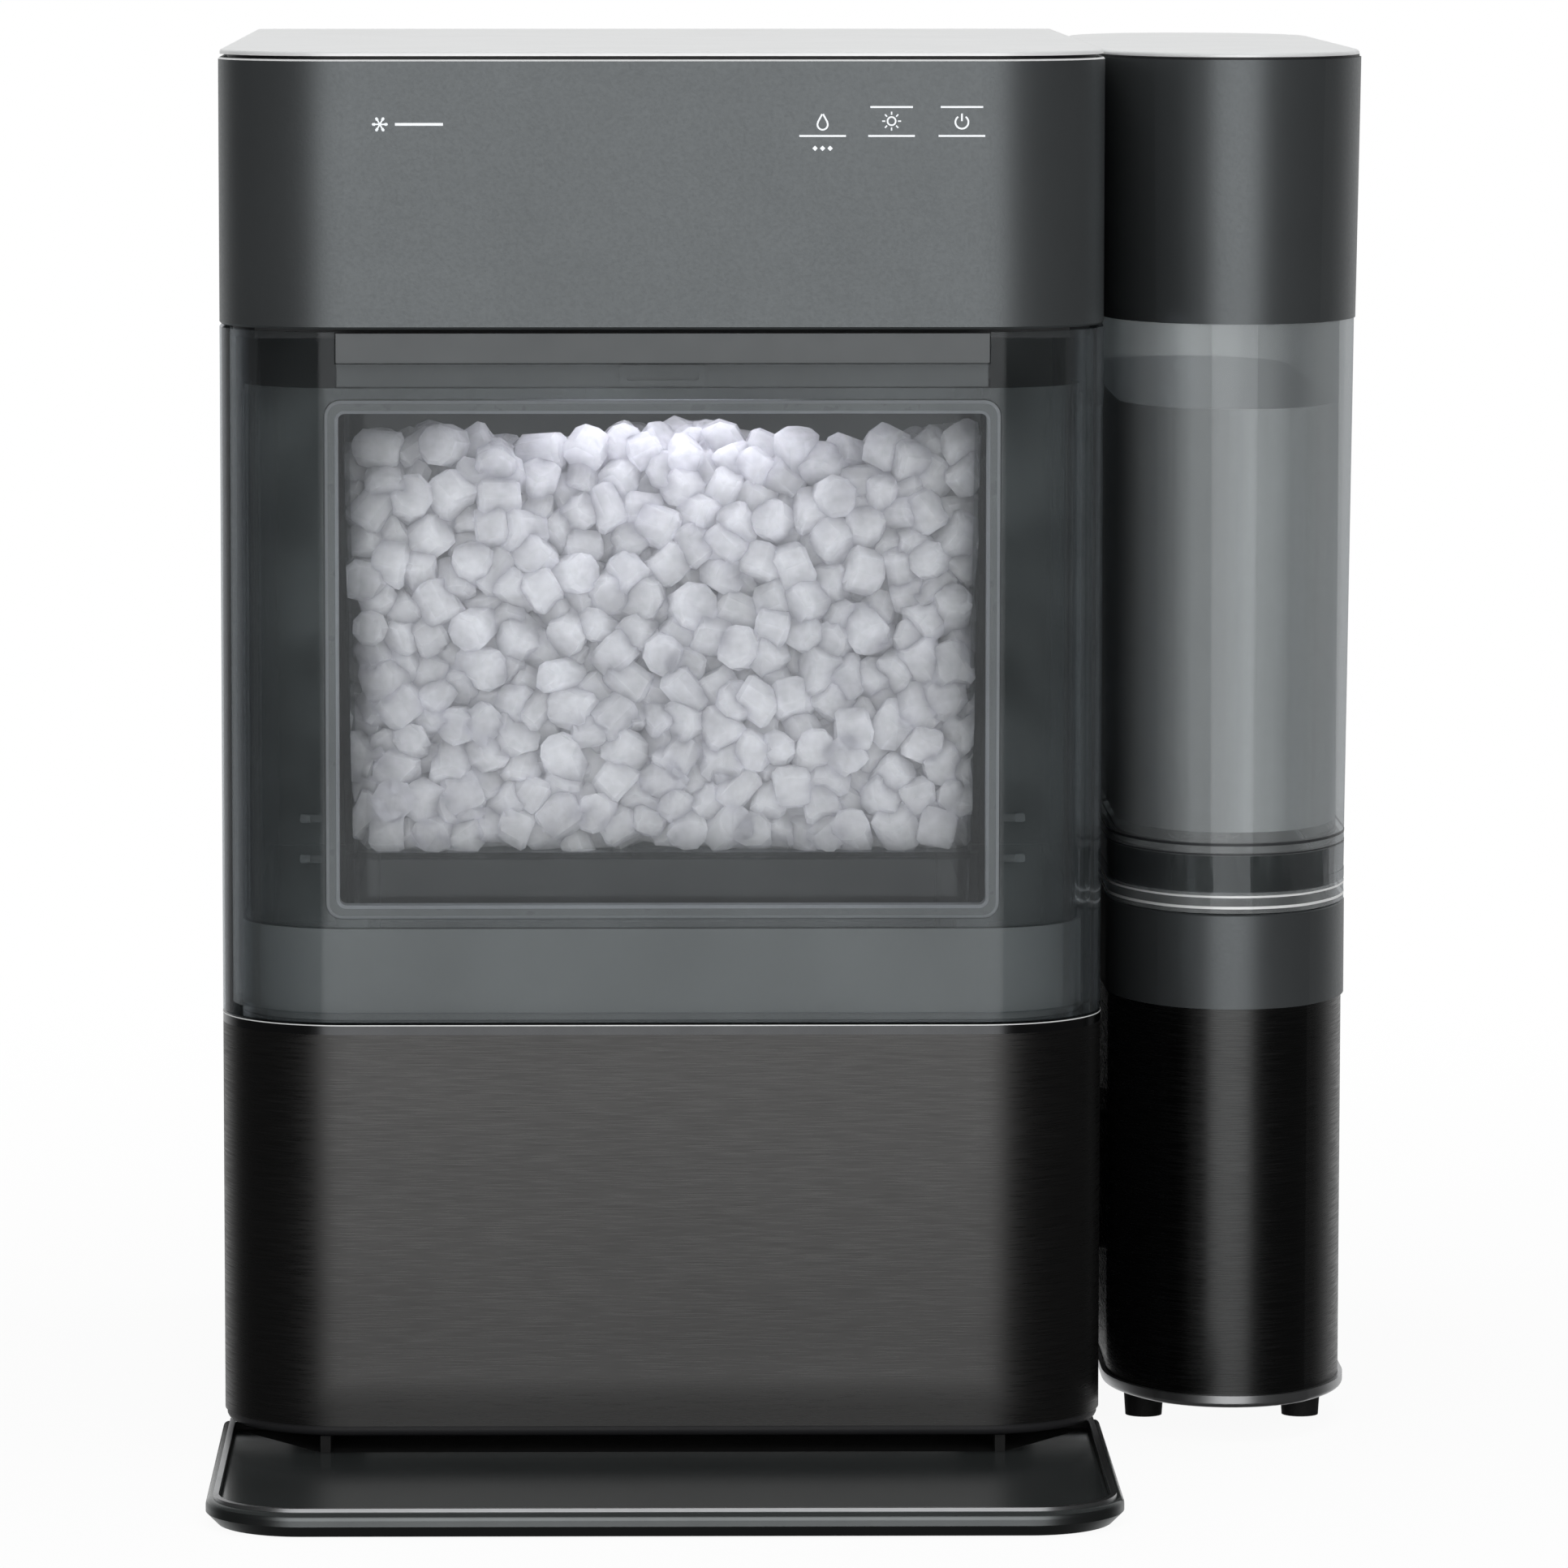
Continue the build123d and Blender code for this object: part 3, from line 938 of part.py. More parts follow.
TOUCH_ASIDE = 34.0      # touch sensor from the control board's end
TOUCH_RISE = 51.7
TOUCH_X = CONTROL_HALF - TOUCH_ASIDE
TOUCH_Z = HOUSING_LOW + TOUCH_RISE
TOUCH_W = 46.0
TOUCH_H = 17.0
TOUCH_T = 1.2
with BuildPart() as touch_sensor:
    with BuildSketch(at_front(TOUCH_X, TOUCH_Z, MOULD)):
        RectangleRounded(TOUCH_W, TOUCH_H, 2.0)
    extrude(amount=-TOUCH_T)

VALVE_ASIDE = 11.0      # drain valve in front of the drain caps
VALVE_ROOM = 35.0
VALVE_X = RECESS_X + VALVE_ASIDE
VALVE_Y = BODY_D - VALVE_ROOM
VALVE_HALF = 16.0
VALVE_H = 24.0
with BuildPart() as drain_valve:
    extrude(box_plan(PAN_TOP, VALVE_X - VALVE_HALF, VALVE_X + VALVE_HALF, VALVE_Y - VALVE_HALF + 1.0,
                     VALVE_Y + VALVE_HALF - 1.0, 3.0), amount=VALVE_H)
    with BuildSketch(Plane((BODY_X + VALVE_X, FRONT + VALVE_Y, PAN_TOP + VALVE_H))):
        Circle(VALVE_HALF - 5.0)
    extrude(amount=VALVE_H - 2.0)

# ================================================================ drip tray
TRAY_WALL = 3.0
TRAY_BEVEL_H = 3.4      # slope under the tray's edge
TRAY_BEVEL_W = 3.4
TRAY_FLOOR_T = 1.8
GUIDE_ASIDE = 31.0      # guides of the tray under the body
GUIDE_X = BODY_W / 2 - GUIDE_ASIDE
GUIDE_L = 34.0
GUIDE_T = 3.0
TRIM_W = 1.6
TRIM_T = 1.0


def tray_outline(inset=0.0):
    """Tray outline on the ground plane, moved in by inset."""
    with BuildSketch() as outline:
        with Locations((BODY_X, FRONT + (TRAY_TUCK - TRAY_REACH) / 2)):
            Rectangle(TRAY_W - 2 * inset, TRAY_REACH + TRAY_TUCK - 2 * inset)
        ends = outline.vertices().group_by(Axis.Y)
        fillet(ends[0], TRAY_R - inset)
        fillet(ends[-1], 8.0 - inset)
    return outline.sketch


with BuildPart() as drip_tray:
    with BuildSketch():
        add(tray_outline())
    extrude(amount=TRAY_H - TRIM_T)
    fillet(drip_tray.edges().group_by(Axis.Z)[-1], 2.2)
    chamfer(drip_tray.edges().group_by(Axis.Z)[0], TRAY_BEVEL_H, TRAY_BEVEL_W)
    with BuildSketch(Plane.XY.offset(TRAY_FLOOR)):
        add(tray_outline(TRAY_WALL + 1.0))
    extrude(amount=TRAY_H, taper=-20.0, mode=Mode.SUBTRACT)
    with BuildSketch():
        add(tray_outline(TRAY_WALL + TRAY_BEVEL_W))
    extrude(amount=TRAY_FLOOR - TRAY_FLOOR_T, mode=Mode.SUBTRACT)
    with BuildSketch(Plane.XY.offset(TRAY_FLOOR)):
        with Locations((BODY_X, FRONT + TRAY_TUCK - TRAY_WALL - 6.0)):
            with GridLocations(2 * GUIDE_X, 0, 2, 1):
                Rectangle(GUIDE_T, GUIDE_L, align=(Align.CENTER, Align.MAX))
    extrude(amount=FOOT_H - SEAT - TRAY_FLOOR)
with BuildPart() as tray_trim:
    with BuildSketch(Plane.XY.offset(TRAY_H - TRIM_T)):
        add(tray_outline(TRAY_WALL - TRIM_W + 0.8))
        add(tray_outline(TRAY_WALL + 0.8), mode=Mode.SUBTRACT)
    extrude(amount=TRIM_T)

# ================================================================ side tank base
RIM_INSET = 2.6
SLEEVE_INSET = 4.0
COLLAR_INSET = 3.2
BASE_T = 2.4
with BuildPart() as tank_bottom_rim:
    with BuildSketch(Plane.XY.offset(FOOT_H)):
        add(tank_plan(0.0, RIM_INSET))
    extrude(amount=TANK_RIM_H)
    fillet(tank_bottom_rim.edges().group_by(Axis.Z)[0], 1.4)
with BuildPart() as tank_sleeve:
    with BuildSketch(Plane.XY.offset(FOOT_H + TANK_RIM_H)):
        add(tank_plan(0.0, SLEEVE_INSET))
        add(tank_plan(0.0, SLEEVE_INSET + SHEET), mode=Mode.SUBTRACT)
    extrude(amount=SLEEVE_TOP - FOOT_H - TANK_RIM_H)
    with BuildSketch(Plane((TANK_X - TANK_W / 2, FRONT + COUPLER_Y, COUPLER_Z), x_dir=(0, 1, 0),
                           z_dir=(1, 0, 0))):
        Circle(COUPLER_R + HOLE_EASE)
    extrude(amount=TANK_W / 2, mode=Mode.SUBTRACT)

OUTLET_R = 14.0         # outlet spigot under the tank
OUTLET_L = 14.0
SEAT_DECK = COLLAR_TOP - 4.0
with BuildPart() as tank_collar:
    with BuildSketch(Plane.XY.offset(SLEEVE_TOP)):
        add(tank_plan(0.0, COLLAR_INSET))
        add(tank_plan(0.0, COLLAR_INSET + BASE_T), mode=Mode.SUBTRACT)
    extrude(amount=COLLAR_TOP - SLEEVE_TOP)
    chamfer(tank_collar.faces().sort_by(Axis.Z)[-1].outer_wire().edges(), 0.5)
    with BuildSketch(Plane.XY.offset(SEAT_DECK - BASE_T)):
        add(tank_plan(0.0, COLLAR_INSET + BASE_T))
        with Locations((TANK_X, TANK_Y)):
            Circle(OUTLET_R + SEAT, mode=Mode.SUBTRACT)
    extrude(amount=BASE_T)

TANK_FOOT_X = 24.0
TANK_FOOT_Y = 52.0
TANK_FOOT_R = 6.4
with BuildPart() as tank_feet:
    with BuildSketch() as pads:
        with Locations((TANK_X, TANK_Y)):
            with GridLocations(2 * TANK_FOOT_X, TANK_L - 2 * TANK_FOOT_Y, 2, 2):
                Circle(TANK_FOOT_R - 0.8)
    extrude(amount=FOOT_H, taper=-4.0)

CUP_R = OUTLET_R + 5.0
CUP_LOW = FOOT_H + TANK_RIM_H
PIN_R = 3.0
PIN_TOP = COLLAR_TOP + SEAT - OUTLET_L - SEAT
with BuildPart() as docking_seat:
    with BuildSketch(Plane((TANK_X, TANK_Y, CUP_LOW))):
        Circle(CUP_R)
    extrude(amount=SEAT_DECK - BASE_T - CUP_LOW)
    with BuildSketch(Plane((TANK_X, TANK_Y, CUP_LOW + BASE_T))):
        Circle(OUTLET_R + SEAT)
    extrude(amount=SEAT_DECK - CUP_LOW, mode=Mode.SUBTRACT)
    with BuildSketch(Plane((TANK_X, TANK_Y, CUP_LOW))):
        Circle(PIN_R)
    extrude(amount=PIN_TOP - CUP_LOW)
    with BuildSketch(Plane((TANK_X - CUP_R - 1.0, TANK_Y, COUPLER_Z), x_dir=(0, 1, 0), z_dir=(1, 0, 0))):
        Circle(COUPLER_R - 2.0)
    extrude(amount=CUP_R, mode=Mode.SUBTRACT)

BRACKET_W = 60.0
BRACKET_H = 44.0
with BuildPart() as dock_bracket:
    with BuildSketch(Plane((RIGHT, FRONT + COUPLER_Y, COUPLER_Z), x_dir=(0, 1, 0), z_dir=(1, 0, 0))):
        RectangleRounded(BRACKET_W, BRACKET_H, 6.0)
        Circle(COUPLER_R + HOLE_EASE, mode=Mode.SUBTRACT)
    extrude(amount=TANK_GAP + SLEEVE_INSET - SEAT)

with BuildPart() as water_coupler:
    with BuildSketch(Plane((BODY_X + PUMP_X + PUMP_L - 4.0, FRONT + COUPLER_Y, COUPLER_Z),
                           x_dir=(0, 1, 0), z_dir=(1, 0, 0))):
        Circle(COUPLER_R)
        Circle(COUPLER_R - 2.0, mode=Mode.SUBTRACT)
    extrude(amount=TANK_X - CUP_R - SEAT - BODY_X - PUMP_X - PUMP_L + 4.0)

# ================================================================ lift-off tank
TANK_LOW = COLLAR_TOP + SEAT
SHELL_TOP_INSET = 1.6
SHELL_FOOT_INSET = 3.6
HEAD_FOOT_INSET = 1.2
HEAD_BORE_INSET = HEAD_FOOT_INSET + MOULD
SHELL_RISE = TANK_HEAD_LOW - TANK_LOW
SHELL_DRAFT = degrees(atan((SHELL_FOOT_INSET - SHELL_TOP_INSET) / SHELL_RISE))
NECK_H = 12.0
with BuildPart() as tank_shell:
    with BuildSketch(Plane.XY.offset(TANK_LOW)):
        add(tank_plan(0.0, SHELL_FOOT_INSET))
    extrude(amount=SHELL_RISE, taper=-SHELL_DRAFT)
    with BuildSketch(Plane.XY.offset(TANK_LOW)):
        add(tank_plan(0.0, COLLAR_INSET + 0.2))
    extrude(amount=FLANGE_H)
    with BuildSketch(Plane.XY.offset(TANK_HEAD_LOW)):
        add(tank_plan(0.0, HEAD_BORE_INSET + SEAT))
    extrude(amount=NECK_H)
    with BuildSketch(Plane.XY.offset(TANK_LOW + TANK_WALL + 1.6)):
        add(tank_plan(0.0, SHELL_FOOT_INSET + TANK_WALL))
    extrude(amount=SHELL_RISE + NECK_H, mode=Mode.SUBTRACT)
    with BuildSketch(Plane((TANK_X, TANK_Y, TANK_LOW - OUTLET_L))):
        Circle(OUTLET_R)
    extrude(amount=OUTLET_L)
    with BuildSketch(Plane((TANK_X, TANK_Y, TANK_LOW - OUTLET_L))):
        Circle(9.0)
    extrude(amount=OUTLET_L - 2.0, mode=Mode.SUBTRACT)
    with BuildSketch(Plane((TANK_X, TANK_Y, TANK_LOW - 3.0))):
        Circle(3.5)
    extrude(amount=20.0, mode=Mode.SUBTRACT)
HEAD_DRAFT = degrees(atan(HEAD_FOOT_INSET / (TANK_HEAD_TOP - TANK_HEAD_LOW)))
LID_INSET = 0.6
CAGE_R = 14.0
CAGE_H = 16.0
with BuildPart() as tank_head:
    with BuildSketch(Plane.XY.offset(TANK_HEAD_LOW)):
        add(tank_plan(0.0, HEAD_FOOT_INSET))
    extrude(amount=TANK_HEAD_TOP - TANK_HEAD_LOW, taper=-HEAD_DRAFT)
    with BuildSketch(Plane.XY.offset(TANK_HEAD_LOW)):
        add(tank_plan(0.0, HEAD_BORE_INSET))
    extrude(amount=TANK_HEAD_TOP - TANK_HEAD_LOW, mode=Mode.SUBTRACT)

PLUNGER_R = 3.0
PLUNGER_HEAD_R = 7.0
VALVE_TRAVEL = 3.0
VALVE_FLOOR = TANK_LOW + TANK_WALL + 1.6
with BuildPart() as tank_valve:
    with BuildSketch(Plane((TANK_X, TANK_Y, TANK_LOW - OUTLET_L))):
        Circle(PLUNGER_R)
    extrude(amount=VALVE_FLOOR + SEAT - TANK_LOW + OUTLET_L)
    with BuildSketch(Plane((TANK_X, TANK_Y, VALVE_FLOOR + SEAT))):
        Circle(PLUNGER_HEAD_R)
    extrude(amount=3.0)
with BuildPart() as valve_cage:
    with BuildSketch(Plane((TANK_X, TANK_Y, VALVE_FLOOR))):
        Circle(CAGE_R)
        Circle(CAGE_R - 2.0, mode=Mode.SUBTRACT)
    extrude(amount=CAGE_H)
    with BuildSketch(Plane((TANK_X, TANK_Y, VALVE_FLOOR + 2.0))):
        with PolarLocations(CAGE_R, 4):
            RectangleRounded(8.0, 8.0, 1.0)
    extrude(amount=CAGE_H - 4.0, mode=Mode.SUBTRACT)
    with BuildSketch(Plane((TANK_X, TANK_Y, VALVE_FLOOR + CAGE_H))):
        Circle(CAGE_R)
    extrude(amount=2.0)

LID_EASE = 0.6
LID_SKIRT = 16.0
with BuildPart() as tank_lid:
    with BuildSketch(Plane.XY.offset(TANK_HEAD_TOP)):
        add(tank_plan(0.0, LID_INSET))
    extrude(amount=TANK_TOP - TANK_HEAD_TOP)
    fillet(tank_lid.edges().group_by(Axis.Z)[-1], 1.2)
    with BuildSketch(Plane.XY.offset(TANK_HEAD_TOP - LID_SKIRT)):
        add(tank_plan(0.0, HEAD_BORE_INSET + LID_EASE))
        add(tank_plan(0.0, HEAD_BORE_INSET + LID_EASE + BASE_T), mode=Mode.SUBTRACT)
    extrude(amount=LID_SKIRT)

# ================================================================ write the pieces
PIECES = {
    "base_pan": base_pan,
    "body_feet": body_feet,
    "lower_front_panel": lower_front_panel,
    "trim_band": trim_band,
    "side_panel_left": side_panel_left,
    "side_panel_right": side_panel_right,
    "rear_cover": rear_cover,
    "cover_screws": cover_screws,
    "service_recess": service_recess,
    "drain_caps": drain_caps,
    "mains_gland": mains_gland,
    "control_housing": control_housing,
    "top_cover": top_cover,
    "bin_bay": bin_bay,
    "bay_ceiling": bay_ceiling,
    "bay_lamp": bay_lamp,
    "chassis": chassis,
    "bin_front": bin_front,
    "bin_grab_bar": bin_grab_bar,
    "bin_inner_skin": bin_inner_skin,
    "window_gasket": window_gasket,
    "melt_pan": melt_pan,
    "ice_bucket": ice_bucket,
    "gear_motor": gear_motor,
    "evaporator_barrel": evaporator_barrel,
    "auger": auger,
    "extruder_head": extruder_head,
    "ice_chute": ice_chute,
    "compressor": compressor,
    "condenser": condenser,
    "fan_shroud": fan_shroud,
    "fan_motor": fan_motor,
    "fan_rotor": fan_rotor,
    "water_pump": water_pump,
    "inner_reservoir": inner_reservoir,
    "reservoir_lid": reservoir_lid,
    "level_float": level_float,
    "supply_hose": supply_hose,
    "barrel_feed": barrel_feed,
    "suction_line": suction_line,
    "discharge_line": discharge_line,
    "power_board": power_board,
    "control_board": control_board,
    "touch_sensor": touch_sensor,
    "drain_valve": drain_valve,
    "drip_tray": drip_tray,
    "tray_trim": tray_trim,
    "tank_bottom_rim": tank_bottom_rim,
    "tank_sleeve": tank_sleeve,
    "tank_collar": tank_collar,
    "tank_feet": tank_feet,
    "docking_seat": docking_seat,
    "dock_bracket": dock_bracket,
    "water_coupler": water_coupler,
    "tank_shell": tank_shell,
    "tank_head": tank_head,
    "tank_valve": tank_valve,
    "valve_cage": valve_cage,
    "tank_lid": tank_lid,
}
os.makedirs("parts", exist_ok=True)
for name, piece in PIECES.items():
    piece.part.label = name
    export_step(piece.part, f"parts/{name}.step")
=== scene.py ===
import json
import math
import random

import bmesh
import bpy
from mathutils import Matrix, Vector, noise

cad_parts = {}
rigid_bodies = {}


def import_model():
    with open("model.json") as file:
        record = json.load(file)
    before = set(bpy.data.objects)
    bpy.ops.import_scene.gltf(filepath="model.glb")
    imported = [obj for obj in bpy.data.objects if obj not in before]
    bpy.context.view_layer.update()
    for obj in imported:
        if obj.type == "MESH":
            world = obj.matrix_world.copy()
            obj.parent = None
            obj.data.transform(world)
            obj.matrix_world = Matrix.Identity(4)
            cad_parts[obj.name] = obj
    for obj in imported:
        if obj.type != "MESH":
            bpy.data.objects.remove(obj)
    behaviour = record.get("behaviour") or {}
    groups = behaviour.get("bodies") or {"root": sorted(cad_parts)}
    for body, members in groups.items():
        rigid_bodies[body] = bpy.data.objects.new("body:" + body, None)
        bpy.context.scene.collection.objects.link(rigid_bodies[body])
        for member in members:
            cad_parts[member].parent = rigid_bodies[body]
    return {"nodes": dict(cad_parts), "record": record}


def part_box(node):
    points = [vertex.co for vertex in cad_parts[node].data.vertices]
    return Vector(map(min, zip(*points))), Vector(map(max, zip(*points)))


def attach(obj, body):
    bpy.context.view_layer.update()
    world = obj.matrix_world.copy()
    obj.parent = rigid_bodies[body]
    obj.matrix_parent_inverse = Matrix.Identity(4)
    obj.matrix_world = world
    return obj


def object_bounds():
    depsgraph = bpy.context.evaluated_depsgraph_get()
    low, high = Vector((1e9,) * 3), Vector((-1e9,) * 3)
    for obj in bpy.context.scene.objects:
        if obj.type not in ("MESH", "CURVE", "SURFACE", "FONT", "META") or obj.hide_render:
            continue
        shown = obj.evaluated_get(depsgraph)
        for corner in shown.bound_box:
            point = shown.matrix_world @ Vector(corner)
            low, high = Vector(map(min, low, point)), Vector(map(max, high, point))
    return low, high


# A countertop nugget ice maker with its bin full of ice and a docked water tank.
# Metres, +Z up, the front faces -Y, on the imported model's frame.

for spare in list(bpy.data.objects):
    bpy.data.objects.remove(spare)

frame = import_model()
CAD_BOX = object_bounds()
NODES = frame["nodes"]
SLOTS = {part["node"]: part["material_slot"] for part in frame["record"]["subparts"]}

MM = 0.001
HOUSING_LO, HOUSING_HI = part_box("control_housing")
MID_X = (HOUSING_LO.x + HOUSING_HI.x) / 2       # middle of the machine's body
FRONT_Y = HOUSING_LO.y                          # front face of the body


# ---------------------------------------------------------------- node helpers
NOISE_LOW, NOISE_HIGH = 0.3, 0.7        # the span in which nearly all noise values fall


def new_material(name):
    """An empty node material with its output node."""
    material = bpy.data.materials.new(name)
    material.use_nodes = True
    material.node_tree.nodes.clear()
    output = material.node_tree.nodes.new("ShaderNodeOutputMaterial")
    return material, output


def feed(owner, value, socket):
    """Links another node's output to a socket, or sets the socket to a constant."""
    if isinstance(value, bpy.types.NodeSocket):
        owner.node_tree.links.new(value, socket)
    else:
        socket.default_value = value


def add_node(owner, kind, **inputs):
    """A new node of a material or the world, with the sockets named in inputs fed."""
    node = owner.node_tree.nodes.new(kind)
    for key, value in inputs.items():
        feed(owner, value, node.inputs[key.replace("_", " ")])
    return node


def maths(owner, operation, first, second):
    """The result of one operation on two values."""
    node = add_node(owner, "ShaderNodeMath")
    node.operation = operation
    feed(owner, first, node.inputs[0])
    feed(owner, second, node.inputs[1])
    return node.outputs[0]


def blend(owner, share, first, second):
    """A mix of two shaders, all second where share is 1."""
    mix = add_node(owner, "ShaderNodeMixShader", Fac=share)
    feed(owner, first.outputs[0], mix.inputs[1])
    feed(owner, second.outputs[0], mix.inputs[2])
    return mix


def smooth_step(owner, value, from_low, from_high, to_low, to_high):
    """A value eased from one range to another."""
    step = add_node(owner, "ShaderNodeMapRange", Value=value, From_Min=from_low, From_Max=from_high,
                    To_Min=to_low, To_Max=to_high)
    step.interpolation_type = "SMOOTHSTEP"
    return step.outputs["Result"]


def finish(owner, output, shader):
    """Makes the shader what the material's or the world's output shows."""
    feed(owner, shader.outputs[0], output.inputs["Surface"])
    return owner


def rgba(colour, k=1.0):
    """A colour with alpha, brightened k times."""
    return tuple(min(1.0, c * k) for c in colour) + (1.0,)


def speckle(material, size, stretch=(1.0, 1.0, 1.0), detail=3.0):
    """A noise value over the piece, with features about size metres long."""
    where = add_node(material, "ShaderNodeTexCoord")
    spread = add_node(material, "ShaderNodeMapping", Vector=where.outputs["Object"], Scale=stretch)
    grain = add_node(material, "ShaderNodeTexNoise", Vector=spread.outputs["Vector"],
                     Scale=1.0 / size, Detail=detail)
    return grain.outputs["Fac"]


def between(material, value, low, high):
    """A noise value's usual span, spread over low to high."""
    span = add_node(material, "ShaderNodeMapRange", Value=value, From_Min=NOISE_LOW,
                    From_Max=NOISE_HIGH, To_Min=low, To_Max=high)
    return span.outputs["Result"]


def relief(material, value, depth, strength=1.0):
    """A bumpy normal, depth metres from the value's low to its high."""
    bump = add_node(material, "ShaderNodeBump", Height=value, Distance=depth, Strength=strength)
    return bump.outputs["Normal"]


def two_tone(material, value, colour, spread):
    """The colour, lighter and darker by spread as the value goes."""
    tone = add_node(material, "ShaderNodeValToRGB", Fac=value)
    dark, light = tone.color_ramp.elements
    dark.position = NOISE_LOW
    dark.color = rgba(colour, 1.0 - spread)
    light.position = NOISE_HIGH
    light.color = rgba(colour, 1.0 + spread)
    return tone.outputs["Color"]


def surface(name, colour, rough, metal=0.0, spread=0.05, patch=0.03, grain=0.0008,
            rough_spread=0.04, depth=0.00002, **sockets):
    """An opaque finish: patchy colour, uneven roughness and a fine bump."""
    material, output = new_material(name)
    fine = speckle(material, grain)
    broad = speckle(material, patch)
    shader = add_node(material, "ShaderNodeBsdfPrincipled",
                      Base_Color=two_tone(material, broad, colour, spread),
                      Roughness=between(material, fine, rough - rough_spread, rough + rough_spread),
                      Normal=relief(material, fine, depth), Metallic=metal, **sockets)
    return finish(material, output, shader)


def brushed(name, colour, rough, spread):
    """Brushed metal: long fine lines across, stretched highlights."""
    material, output = new_material(name)
    lines = speckle(material, 0.00035, (0.03, 0.03, 1.0), 4.0)
    broad = speckle(material, 0.02, (0.3, 0.3, 1.0))
    both = maths(material, "MULTIPLY", maths(material, "ADD", lines, broad), 0.5)
    around = add_node(material, "ShaderNodeTangent")
    around.direction_type = "RADIAL"
    around.axis = "Z"
    shader = add_node(material, "ShaderNodeBsdfPrincipled",
                      Base_Color=two_tone(material, both, colour, spread),
                      Roughness=between(material, lines, rough - 0.06, rough + 0.06),
                      Normal=relief(material, lines, 0.000005, 0.6),
                      Tangent=around.outputs["Tangent"], Metallic=1.0, Anisotropic=0.7)
    return finish(material, output, shader)


def clear(name, tint, edge_tint, rough, shine=1.45, gloss_limit=0.5, haze=0.03,
          haze_colour=(0.30, 0.32, 0.33), haze_stretch=(1.0, 1.0, 1.0), haze_patch=0.03):
    """Thin clear plastic: a tint that deepens towards the rim, a little haze, gloss by angle."""
    material, output = new_material(name)
    fine = speckle(material, 0.004)
    broad = speckle(material, 0.05)
    waves = relief(material, broad, 0.0002, 0.3)
    rim = add_node(material, "ShaderNodeLayerWeight", Blend=0.35)
    shade = add_node(material, "ShaderNodeMix")
    shade.data_type = "RGBA"
    feed(material, rim.outputs["Facing"], shade.inputs["Factor"])
    feed(material, two_tone(material, broad, tint, 0.02), shade.inputs["A"])
    feed(material, two_tone(material, broad, edge_tint, 0.02), shade.inputs["B"])
    see = add_node(material, "ShaderNodeBsdfTransparent", Color=shade.outputs["Result"])
    cloud = speckle(material, haze_patch, haze_stretch, 1.0)
    milk = add_node(material, "ShaderNodeBsdfDiffuse",
                    Color=two_tone(material, cloud, haze_colour, 0.12))
    veil = blend(material, between(material, cloud, haze * 0.7, haze * 1.3), see, milk)
    gloss = add_node(material, "ShaderNodeBsdfGlossy", Color=(0.95, 0.97, 1.0, 1.0), Normal=waves,
                     Roughness=between(material, fine, rough * 0.7, rough * 1.3))
    mirror = add_node(material, "ShaderNodeFresnel", Normal=waves, IOR=shine)
    share = maths(material, "MINIMUM", mirror.outputs["Fac"], gloss_limit)
    return finish(material, output, blend(material, share, veil, gloss))


# ---------------------------------------------------------------- finishes
PAINTED_REFRACTION_BANDS = (1.0, 0.03, 0.01)       # draws a haze out along the tank and up it, in upright bands: painted light and shade of refraction
FINISHES = {
    "housing_grey": surface("housing_satin", (0.165, 0.178, 0.184), 0.40, metal=0.80, spread=0.03,
                            grain=0.0008, depth=0.000016),
    "brushed_steel": brushed("dark_brushed_steel", (0.094, 0.093, 0.092), 0.30, 0.07),
    "trim_satin": surface("satin_trim", (0.10, 0.102, 0.105), 0.22, metal=1.0, spread=0.04, grain=0.006,
                          rough_spread=0.02),
    "cover_pale": surface("pale_cover_and_painted_highlight", (0.92, 0.93, 0.93), 0.36, metal=0.25, spread=0.02,
                          grain=0.0005, depth=0.000008),
    "side_skin": surface("side_paint_and_painted_shade", (0.055, 0.058, 0.062), 0.38, metal=0.4, spread=0.05,
                         grain=0.0006),
    "galvanised": surface("zinc_sheet", (0.52, 0.54, 0.56), 0.42, metal=1.0, spread=0.14, patch=0.012),
    "black_plastic": surface("black_moulding_and_painted_shade", (0.022, 0.022, 0.024), 0.45, spread=0.10),
    "gloss_black": surface("gloss_moulding", (0.012, 0.013, 0.014), 0.08, spread=0.08,
                           rough_spread=0.02, depth=0.000004),
    "smoked_clear": clear("smoked_panel", (0.95, 0.96, 0.962), (0.50, 0.53, 0.54), 0.06, shine=1.28,
                          haze=0.030, haze_colour=(0.26, 0.285, 0.29)),
    "clear_plastic": clear("clear_wall", (0.975, 0.978, 0.982), (0.78, 0.80, 0.82), 0.05, shine=1.28,
                           haze=0.01),
    "gasket_grey": surface("soft_seal_and_painted_highlight", (0.36, 0.37, 0.39), 0.38, spread=0.04, grain=0.006),
    "inner_grey": surface("inner_moulding", (0.170, 0.182, 0.186), 0.42, spread=0.05, grain=0.006),
    "rubber_black": surface("foot_rubber", (0.012, 0.012, 0.012), 0.72, spread=0.12, depth=0.00005),
    "steel_bright": surface("turned_steel", (0.62, 0.62, 0.63), 0.20, metal=1.0, spread=0.05),
    "copper_line": surface("drawn_copper", (0.72, 0.36, 0.22), 0.30, metal=1.0, spread=0.10),
    "compressor_black": surface("pump_paint", (0.016, 0.016, 0.018), 0.22, spread=0.08),
    "foam_grey": surface("foam_jacket", (0.32, 0.33, 0.34), 0.85, spread=0.12, depth=0.0002),
    "board_green": surface("board_lacquer", (0.02, 0.12, 0.06), 0.30, spread=0.15),
    "lamp_white": surface("lamp_lens", (0.90, 0.92, 0.95), 0.35, spread=0.02),
    "pump_white": surface("white_moulding", (0.66, 0.66, 0.64), 0.45, spread=0.04),
}
